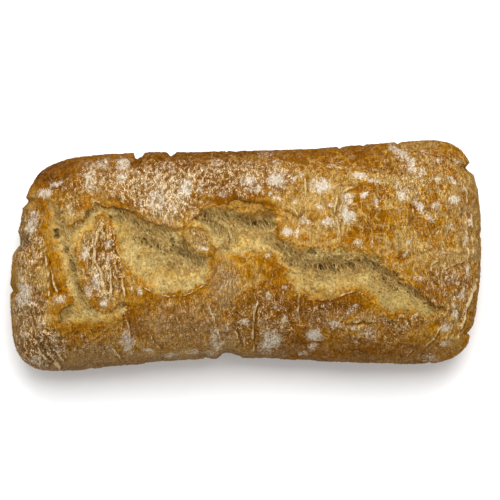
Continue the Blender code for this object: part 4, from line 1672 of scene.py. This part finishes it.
@dataclass
class Crumb:
    """The soft inside, where the tears lay it open."""

    loaf: Loaf
    tears: Tears
    lens: Lens
    box: Box
    spacing: float = 0.21
    under_crust: float = 1.3
    over_hem: float = 0.18
    floor: float = 24.0
    # Painted shade that deepens the crumb's tint towards the right of the roll.
    dusk: float = 0.42
    dusk_zone: Pair = (12.0, 24.0)
    late_dusk: float = 0.4
    late_zone: Pair = (38.0, 52.0)
    strand_lean: float = -22.0
    strand_squeeze: float = 0.24
    swell: Layers = (6.5, 3, 0.55)
    curds: Layers = (1.7, 4, 0.62)
    bend: Layers = (2.2, 3, 0.6)
    fray: Layers = (1.3, 3, 0.6)
    swell_rise: float = 0.75
    bend_reach: float = 1.1
    wall_edge: Pair = (0.26, 0.04)
    pit_depth: float = 0.28
    hole_depth: float = 0.7
    web_depth: float = 0.4
    wall_rise: float = 0.55
    hollow_edge: Pair = (1.3, 0.45)
    alveolus_edge: Pair = (1.25, 0.35)
    flake_edge: Pair = (1.1, 0.8)
    flake_rise: float = 1.3
    map_edge: float = 0.01
    map_top: Pair = (0.55, 0.36)
    map_foot: Pair = (0.02, 0.10)
    low_corner: Pair = (-75.0, -27.0)
    high_corner: Pair = (76.0, 28.0)
    back_tear: Zone = (2, 11)
    back_lip: Zone = (3, 13)
    left_tear: Zone = (-69, 6)
    long_tear: Zone = (28, 10)
    long_hem: Zone = (27, 11)
    pits: Pores = Pores(1.05, 0.10, 0.42, 71, 0.75)
    holes: Pores = Pores(3.4, 0.35, 1.25, 72, 0.7)
    webs: Pores = Pores(1.7, 0.5, 1.0, 73, 0.95)
    nets: tuple[Net, Net] = (Net(1.55, 75), Net(0.95, 76))
    strand: Noise = Noise(7)
    alveoli: Stations = (
        (-67.2, 13.9, 1, 0.8, 0, 1.6), (-66.8, 11.8, 1.1, 0.8, 0, 1.8), (-64, 7, 0.8, 0.6, 0, 1.2),
        (-48.2, 17, 1.6, 1.3, 0, 1.8), (-53.2, 20.8, 1.2, 0.8, 0, 1.5), (26.2, -4.6, 1.5, 1.8, 0, 2),
        (31.4, -4.4, 2, 1.6, 0, 2.2), (-25.8, 0, 0.6, 1.6, 0, 0.9), (-38, 2.8, 0.5, 1, 0, 0.5),
        (24, 1.6, 1.8, 1, 0, 1.4), (36.8, -3.6, 1.3, 1, 0, 1.4), (57.2, -21.3, 0.5, 0.4, 0, 0.8),
        (4.6, 12.8, 1, 1.4, 0, 1), (9, 11.6, 0.9, 1.2, 0, 1), (-25.6, 7.4, 1, 2, 0, 1.2),
        (49.4, -9.8, 0.9, 0.5, 0, 1.2), (53.4, -13.4, 1, 0.6, 0, 1.3), (58.2, -14.4, 0.8, 0.5, 0, 1.3),
        (61.4, -16.4, 1, 0.6, 0, 1.5), (63.6, -19, 0.5, 0.4, 0, 1), (46.4, -5, 1.4, 0.6, 0, 1.3),
        (51, -7.6, 1.2, 0.5, 0, 1.2), (64.6, -22.2, 0.4, 0.3, 0, 0.8))
    hollows: Stations = (
        (-34, 7.8, 4.6, 1.5, -22, 1.5), (-22.8, 4.2, 3.6, 1.7, -28, 1.5), (-16.2, 0.3, 3.2, 2.4, -60, 0.7),
        (-0.5, 15.4, 2.6, 1.1, -5, 1), (2.6, 12.6, 5.2, 1.9, -8, 2.1), (9.4, 12.6, 2.6, 1.4, -25, 1.4),
        (-11.6, 13.6, 3.8, 1.8, -32, 1.6), (16.6, -2, 1.8, 1.3, -40, 1.5), (21.6, -3.4, 1.6, 1.1, -20, 1.1),
        (27, -4, 1.5, 2, 0, 1.5), (32, -5.2, 2.5, 1.8, -5, 1.6), (38.6, -4.8, 2.4, 1.1, -15, 1.2),
        (-66.8, 13, 0.9, 1.6, 0, 1.4), (-63.8, 7.4, 0.9, 2.4, 15, 1), (-61.6, 0.6, 0.9, 3, 12, 1.2),
        (-60, -6.6, 1, 3, 10, 0.7), (-44.6, 16.9, 3.2, 1.4, -12, 1.7), (-56.4, 18.4, 2.2, 1, 30, 0.9),
        (-25.6, 6.2, 0.9, 0.5, -20, 1.8))
    flake: Triple = (-25.1, 4.2, 0.95)
    sunlit: Stations = (
        (2.5, 8.8, 9, 2.4, 0, 0.9), (-20.5, -3, 4, 2.8, 0, 0.9), (48, -9, 5.4, 2.4, 0, 0.7),
        (57, -17.8, 5, 1.8, 0, 0.1), (-58, 12.6, 3, 2.5, 0, 0.7))

    def sheet(self) -> Mesh:
        """Cut a sheet of fine cells to the openings, and close it below.

        Returns:
            The closed mesh, flat so far, with its top at height 1 and its floor at 0.
        """
        low, high = np.array(self.low_corner), np.array(self.high_corner)
        count = np.round((high - low) / self.spacing).astype(int)
        sheet = bmesh.new()
        bmesh.ops.create_grid(sheet, x_segments=int(count[0]), y_segments=int(count[1]), size=1.0)
        unit = np.array([vert.co for vert in sheet.verts])
        plan = low + (unit[:, :2] + 1) / 2 * (high - low)
        kept = self.tears.measure(plan[:, 0], plan[:, 1]).edge > -self.under_crust
        outside = [vert for vert, keep in zip(sheet.verts, kept) if not keep]
        bmesh.ops.delete(sheet, geom=outside, context="VERTS")
        loose = [vert for vert in sheet.verts if not vert.link_faces]
        bmesh.ops.delete(sheet, geom=loose, context="VERTS")
        for vert in sheet.verts:
            vert.co = (*(low + (np.array(vert.co)[:2] + 1) / 2 * (high - low)), 1.0)
        rim = [edge for edge in sheet.edges if edge.is_boundary]
        skirt = bmesh.ops.extrude_edge_only(sheet, edges=rim)["geom"]
        foot = [part for part in skirt if isinstance(part, bmesh.types.BMVert)]
        for vert in foot:
            vert.co.z = 0.0
        hem = [edge for edge in sheet.edges if edge.is_boundary]
        bmesh.ops.triangle_fill(sheet, edges=hem, normal=(0, 0, -1))
        bmesh.ops.recalc_face_normals(sheet, faces=sheet.faces)
        return mesh_from("crumb", sheet)

    def texture(self, x: Array, y: Array, deep: Array, upper: Array) -> tuple[Array, Array, Array]:
        """Work out the crumb's strands, pores and alveoli.

        Args:
            x: Places along the roll, as seen.
            y: Places across it, as seen.
            deep: How deep in a valley they lie, 0 to 1.
            upper: How far up towards a lip they lie, 0 to 1.

        Returns:
            The rise of the surface, the painted shade in its pits, hollows and between its walls, and where
            its walls show.
        """
        lean = math.radians(self.strand_lean)
        along = x * math.cos(lean) + y * math.sin(lean)
        across = y * math.cos(lean) - x * math.sin(lean)
        here = level_points(x, y)
        swell = self.strand.layered(here, *self.swell) * self.swell_rise
        curds = self.strand.layered(here + 30, *self.curds) * (0.22 + 0.4 * deep)
        combed = level_points(along, across * self.strand_squeeze, 4.0)
        strands = (self.strand.folds(combed, 1.5, 3) - 0.35) * (0.2 + 1.1 * deep)
        pits = self.pits.at(x, y)
        holes = self.holes.at(x, y) * (0.15 + 0.85 * deep)
        webs = self.webs.at(x + 0.4 * strands, y) * deep
        bend_x = self.strand.layered(here + 11, *self.bend) * self.bend_reach
        bend_y = self.strand.layered(here + 91, *self.bend) * self.bend_reach
        open_zone = np.clip(0.12 + 0.9 * np.maximum(deep, 0.85 * upper), 0, 1)
        wall = np.zeros_like(x)
        for net, share in zip(self.nets, (1.0, 0.7)):
            gap = net.at(x + bend_x, (y + bend_y) * 0.8)
            wall = np.maximum(wall, share * smooth_step(*self.wall_edge, gap))
        wall = wall * open_zone
        rise = swell + curds + strands - self.pit_depth * pits - self.hole_depth * holes
        rise = rise - self.web_depth * webs + self.wall_rise * wall
        # Painted shade in pits, holes and webs, and between the bubbles' walls; hollows and alveoli add more
        # below.
        dark = 0.6 * pits + 0.45 * holes * deep + 0.35 * webs + 0.24 * open_zone * (1 - wall)
        wander = self.strand.layered(here + 70, 1.6, 2) * 0.5
        for *oval, depth in self.hollows:
            pit = smooth_step(*self.hollow_edge, oval_reach(x, y, oval) + wander)
            rise = rise * (1 - 0.45 * pit) - depth * pit
            dark = np.maximum(dark, 0.55 * pit)
            wall = wall * (1 - 0.5 * pit)
        for *oval, depth in self.alveoli:
            pit = smooth_step(*self.alveolus_edge, oval_reach(x, y, oval) + wander)
            rise -= depth * pit
            dark = np.maximum(dark, 0.6 * pit)
            wall = wall * (1 - pit)
        flake_x, flake_y, reach = self.flake
        away = np.hypot(x - flake_x, (y - flake_y) * 1.3) / reach
        flake = smooth_step(*self.flake_edge, away + wander * 0.6)
        return rise + self.flake_rise * flake, dark * (1 - flake), np.maximum(wall, flake)

    def surface(self, x: Array, y: Array) -> tuple[Array, dict[str, Array]]:
        """Work out the crumb's height and the shares that its material reads.

        Args:
            x: Places along the roll, as seen.
            y: Places across it, as seen.

        Returns:
            The heights, and the named shares.
        """
        tear = self.tears.measure(x, y)
        rim = self.loaf.rim_at(x, y)
        sunk = self.tears.sunk(x, y, tear)
        at_lip = tear.lip > 0.5
        deep = smooth_step(0.25, 1.1, sunk / curve_through(self.tears.depth, x))
        deep *= 1 - 0.6 * within(x, self.back_tear) * smooth_step(0.6, 0.3, tear.share)
        rise, dark, wall = self.texture(x, y, deep, smooth_step(0.4, 0.8, tear.share))
        # Painted shadow as a thin dark line just under the back lip, with a small groove.
        lip_shadow = ridge(tear.edge - 0.3, 0.7) * at_lip * within(x, self.back_tear)
        rise, dark, wall = rise - 0.8 * lip_shadow, np.maximum(dark, 0.6 * lip_shadow), wall * (1 - lip_shadow)
        under_lip = smooth_step(*self.tears.lip_zone, tear.share) * self.tears.hardness(x)
        fray = self.strand.layered(level_points(x, y) + 50, *self.fray) * 1.3 * (1 - 0.7 * under_lip)
        covered = smooth_step(0.5, -0.7, tear.edge + fray) * (0.5 + 0.9 * under_lip)
        step = 0.15 * under_lip - self.over_hem * (1 - under_lip)
        z = self.loaf.level(x, y, rim) + rise * smooth_step(-1.0, 1.4, tear.edge) - covered
        z += (self.tears.lip(x, tear) * 0.8 - sunk - step) * self.loaf.inland(rim)
        # Painted shade towards the right, stored with the depth.
        dusk = self.dusk * smooth_step(*self.dusk_zone, x) + self.late_dusk * smooth_step(*self.late_zone, x)
        lit = sum(strength * ridge(oval_reach(x, y, oval), 1.0) for *oval, strength in self.sunlit)
        # The deep share also carries painted shade; the pore share is painted shade.
        shares = {"lit": lit, "deep": np.maximum(deep, dusk), "hollow": deep, "wall": wall,
                  "toast": np.clip(self.toast(x, y, tear), 0, 1), "pore_shade": np.clip(dark, 0, 1)}
        return z, shares

    def toast(self, x: Array, y: Array, tear: TearField) -> Array:
        """Return how toasted the crumb is beside the lips and hems.

        Args:
            x: Places along the roll, as seen.
            y: Places across it, as seen.
            tear: Their measures against the openings.

        Returns:
            The toast at each point, 0 to 1 or a little more.
        """
        at_lip = tear.lip > 0.5
        broad_lip = 2.2 + 2.4 * within(x, self.back_lip) * (y > 12)
        toast = ridge(tear.edge / broad_lip, 1.0) * at_lip * (1 + 0.7 * within(x, self.back_lip))
        left = within(x, self.left_tear)
        broad_hem = 1.6 + 1.6 * within(x, self.long_hem) + 1.2 * left
        hem_toast = 0.75 - 0.35 * within(x, self.long_tear) + 0.15 * left
        toast += hem_toast * ridge(tear.edge / broad_hem, 1.0) * ~at_lip
        return toast + 0.25 * smooth_step(14.0, 24.0, x)

    def shape(self, mesh: Mesh) -> dict[str, Array]:
        """Sink the sheet into the openings.

        Args:
            mesh: The flat closed sheet, which is changed.

        Returns:
            The named shares at each vertex.
        """
        x, y, top = vertex_places(mesh).T
        z, shares = self.surface(x, y)
        z = np.where(top > 0.5, z, self.floor)
        places = np.column_stack((*self.lens.true(x, y, z), z))
        self.map_sheet(mesh, x, y, top)
        move_vertices(mesh, self.box.fit(places) * MM)
        return shares

    def map_sheet(self, mesh: Mesh, x: Array, y: Array, top: Array) -> None:
        """Lay the sheet out flat for baking, its top over its underside.

        Args:
            mesh: The sheet, which gets its bake map.
            x: Its vertices' places along the roll, as seen.
            y: Their places across it, as seen.
            top: 1 on the top, 0 on the floor.
        """
        low, high = np.array(self.low_corner), np.array(self.high_corner)
        u = self.map_edge + (1 - 2 * self.map_edge) * (x - low[0]) / (high[0] - low[0])
        v = (y - low[1]) / (high[1] - low[1]) * self.map_top[1]
        vertex, face = corner_tables(mesh)
        lowest = np.ones(len(mesh.polygons))
        np.minimum.at(lowest, face, top[vertex])
        below = self.map_foot[0] + self.map_foot[1] * (1 - top[vertex])
        write_map(mesh, u[vertex], v[vertex] + np.where(lowest[face] < 0.5, below, self.map_top[0]))

    def build(self) -> Piece:
        """Make the crumb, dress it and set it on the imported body.

        Returns:
            The finished piece.
        """
        mesh = self.sheet()
        piece = dressed("crumb", mesh, self.shape(mesh), CrumbFinish().build())
        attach(piece, "root")
        return piece


# ---------------------------------------------------------------- the fibres


@dataclass(frozen=True)
class ThreadFinish:
    """Fine fibres of crumb, paler than the hollows behind them."""

    pale: Colour = srgb(212, 186, 124)
    ripe: Colour = srgb(180, 144, 76)
    toast: Colour = srgb(150, 100, 24)
    specular: float = 0.03

    def build(self) -> Material:
        """Mix the fibres' colours.

        Returns:
            The fibres' material.
        """
        mix = Recipe("crumb_thread")
        patch = mix.noise(1.6, 2, 0.6)
        fine = mix.noise(0.4, 1, 0.5)
        colour = mix.blend(mix.ease(patch, 0.35, 0.65), self.pale, self.ripe)
        colour = mix.blend(mix.attribute("toast"), colour, self.toast)
        rough = mix.plus(mix.times(fine, 0.1), 0.85)
        return mix.finish(mix.vary(colour, fine, 0.3), rough, fine, 0.05, 0.4, self.specular)


@dataclass
class Threads:
    """Fibres that the tearing left across the openings."""

    crumb: Crumb
    doublings: int = 12
    rings: int = 6
    corners: int = 3
    radius: Pair = (0.06, 0.16)
    length: Pair = (1.4, 4.6)
    lean_deg: float = -64.0
    lean_spread_deg: float = 24.0
    arch: float = 0.7
    bend: float = 0.12
    lift: float = 0.02
    rooted: float = 0.15
    tries: int = 14
    seed: int = 83

    @property
    def count(self) -> int:
        """Number of fibres."""
        return 2 ** self.doublings

    def bundle(self) -> Mesh:
        """Make all the fibres, straight and on top of each other.

        Returns:
            The mesh: each fibre runs along Z from 0 to 1, with a radius of 1.
        """
        bundle = bmesh.new()
        bmesh.ops.create_cone(bundle, cap_ends=True, segments=self.corners, radius1=1, radius2=1, depth=1)
        for step in range(1, self.rings - 1):
            height = step / (self.rings - 1) - 0.5
            parts = [*bundle.faces, *bundle.edges, *bundle.verts]
            bmesh.ops.bisect_plane(bundle, geom=parts, dist=1e-6, plane_co=(0, 0, height), plane_no=(0, 0, 1))
        bmesh.ops.translate(bundle, verts=bundle.verts, vec=(0, 0, 0.5))
        bmesh.ops.recalc_face_normals(bundle, faces=bundle.faces)
        for _ in range(self.doublings):
            bmesh.ops.duplicate(bundle, geom=[*bundle.faces, *bundle.edges, *bundle.verts])
        return mesh_from("threads", bundle)

    def routes(self) -> tuple[Array, Array, Array]:
        """Choose where each fibre runs.

        Returns:
            Places along and across the roll, as seen, with a row for each fibre, and
            its radius.
        """
        dice = np.random.default_rng(self.seed)
        tries = self.count * self.tries
        x = dice.uniform(self.crumb.low_corner[0], self.crumb.high_corner[0], tries)
        y = dice.uniform(self.crumb.low_corner[1], self.crumb.high_corner[1], tries)
        tear = self.crumb.tears.measure(x, y)
        sunk = self.crumb.tears.sunk(x, y, tear)
        deep = smooth_step(0.2, 0.8, sunk / curve_through(self.crumb.tears.depth, x))
        chosen = np.flatnonzero((tear.edge > 0.2) & (dice.random(tries) < 0.12 + 0.88 * deep))[:self.count]
        chosen = np.resize(chosen, self.count)
        x, y, deep = x[chosen], y[chosen], deep[chosen]
        angle = np.radians(dice.normal(self.lean_deg, self.lean_spread_deg, self.count))
        length = dice.uniform(*self.length, self.count) * (0.4 + 0.6 * deep)
        bend = dice.normal(0, self.bend, self.count) * length
        t = np.linspace(0, 1, self.rings)[None, :]
        along = (t - 0.5) * length[:, None]
        aside = np.sin(math.pi * t) * bend[:, None]
        cosine, sine = np.cos(angle)[:, None], np.sin(angle)[:, None]
        route_x = x[:, None] + along * cosine - aside * sine
        route_y = y[:, None] + along * sine + aside * cosine
        return route_x, route_y, dice.uniform(*self.radius, self.count)

    def shape(self, mesh: Mesh) -> dict[str, Array]:
        """Lay the fibres over the crumb.

        Args:
            mesh: The bundle, which is changed.

        Returns:
            The share of toast at each vertex.
        """
        crumb = self.crumb
        unit = vertex_places(mesh)
        fibre = np.arange(len(unit)) * self.count // len(unit)
        ring = np.round(unit[:, 2] * (self.rings - 1)).astype(int)
        route_x, route_y, radius = self.routes()
        ground, shares = crumb.surface(route_x.ravel(), route_y.ravel())
        ground = ground.reshape(route_x.shape)
        t = np.linspace(0, 1, self.rings)[None, :]
        taut = ground[:, :1] * (1 - t) + ground[:, -1:] * t + self.arch * np.sin(math.pi * t)
        z = np.maximum(taut, ground + self.lift)
        z[:, 0] = ground[:, 0] - self.rooted
        z[:, -1] = ground[:, -1] - self.rooted
        middle = np.stack((*crumb.lens.true(route_x, route_y, z), z), axis=2)
        run = np.gradient(middle, axis=1)
        run /= np.linalg.norm(run, axis=2, keepdims=True)
        aside = np.cross(run, np.array((0.0, 0.0, 1.0)))
        aside /= np.linalg.norm(aside, axis=2, keepdims=True)
        upward = np.cross(aside, run)
        thick = radius[fibre] * (0.45 + 0.55 * np.sin(math.pi * unit[:, 2]))
        places = middle[fibre, ring]
        places = places + aside[fibre, ring] * (unit[:, 0] * thick)[:, None]
        places = places + upward[fibre, ring] * (unit[:, 1] * thick)[:, None]
        self.map_fibres(mesh, unit, fibre)
        move_vertices(mesh, crumb.box.fit(places) * MM)
        return {"toast": shares["toast"].reshape(route_x.shape)[fibre, ring] * 0.8}

    def map_fibres(self, mesh: Mesh, unit: Array, fibre: Array) -> None:
        """Lay each fibre flat in a cell of its own for baking, its caps beside its sides.

        Args:
            mesh: The bundle, which gets its bake map.
            unit: Its vertices' places on the straight fibre.
            fibre: The fibre that each vertex belongs to.
        """
        vertex, face = corner_tables(mesh)
        centre_x, centre_y, centre_z = read_rows(mesh.polygons, "center")[face].T
        corner_x, corner_y, corner_z = unit[vertex].T
        facing = np.arctan2(centre_y, centre_x)
        turn = np.angle(np.exp(1j * (np.arctan2(corner_y, corner_x) - facing))) / (2 * math.pi)
        strip = np.floor((facing / (2 * math.pi) + 0.5) * self.corners)
        on_cap = np.hypot(centre_x, centre_y) < 1e-3
        cap_u = np.where(centre_z > 0.5, 0.91, 0.05) + 0.03 * corner_x
        side_v = 0.06 + (strip + 0.5 + 0.8 * turn * self.corners) * 0.9 / self.corners
        u = np.where(on_cap, cap_u, 0.12 + 0.7 * corner_z)
        v = np.where(on_cap, 0.5 + 0.3 * corner_y, side_v)
        side = 2 ** (self.doublings // 2)
        write_map(mesh, (fibre[vertex] % side + u) / side, (fibre[vertex] // side + v) / side)

    def build(self) -> Piece:
        """Make the fibres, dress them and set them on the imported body.

        Returns:
            The finished piece.
        """
        mesh = self.bundle()
        piece = dressed("threads", mesh, self.shape(mesh), ThreadFinish().build())
        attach(piece, "root")
        return piece


# ---------------------------------------------------------------- the studio


@dataclass
class Studio:
    """Pale table, soft light from the roll's back, and the camera overhead."""

    lens: Lens
    table_size: float = 6.0
    world_light: float = 0.66
    key_power: float = 27.0
    key_size: float = 1.1
    key_place: Triple = (0.10, 0.68, 1.26)
    clip_end: float = 100.0

    def table(self) -> None:
        """Lay the table under the roll."""
        top = bmesh.new()
        bmesh.ops.create_grid(top, x_segments=1, y_segments=1, size=self.table_size / 2)
        mesh = mesh_from("table", top)
        mesh.materials.append(TableFinish().build())
        piece = placed("table", mesh)

    def camera(self) -> None:
        """Hang the camera over the roll, looking straight down."""
        lens = self.lens
        data = bpy.data.cameras.new("camera")
        data.sensor_width = lens.sensor
        data.lens = lens.focal
        data.clip_end = self.clip_end
        camera = placed("camera", data)
        camera.location = (lens.over_x * MM, lens.over_y * MM, (lens.distance + lens.outline_height) * MM)
        camera.rotation_euler = (0.0, 0.0, math.radians(lens.turn_deg))
        bpy.context.scene.camera = camera

    def light(self) -> None:
        """Hang the square key lamp, facing the roll."""
        data = bpy.data.lights.new("key", "AREA")
        data.energy = self.key_power
        data.size = self.key_size
        lamp = placed("key", data)
        lamp.location = self.key_place
        aim = -lamp.location
        lamp.rotation_euler = aim.to_track_quat("-Z", "Y").to_euler()

    def build(self) -> None:
        """Set the whole studio up."""
        self.table()
        self.camera()
        self.light()
        world = bpy.data.worlds.new("daylight")
        world.use_nodes = True
        sky = world.node_tree.nodes["Background"]
        sky.inputs["Color"].default_value = (1.0, 1.0, 1.0, 1.0)
        sky.inputs["Strength"].default_value = self.world_light
        bpy.context.scene.world = world
        bpy.context.scene.view_settings.view_transform = "Standard"


# ---------------------------------------------------------------- the whole scene


def report(piece: Piece) -> None:
    """Log a finished piece's triangles."""
    triangles = sum(len(face.vertices) - 2 for face in piece.data.polygons)
    LOG.info("%s: %d triangles", piece.name, triangles)


def main() -> None:
    """Build the crust, the crumb, its fibres and the studio, and report each piece."""
    logging.basicConfig(level=logging.INFO, format="%(message)s")
    low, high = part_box(NODE)
    box = Box(np.array(low) / MM, np.array(high) / MM)
    loaf, tears, lens, marks = Loaf(), Tears(), Lens(), Marks()
    report(Crust(loaf, tears, lens, marks, box).build())
    crumb = Crumb(loaf, tears, lens, box)
    report(crumb.build())
    report(Threads(crumb).build())
    Studio(lens).build()


if __name__ == "__main__":
    main()
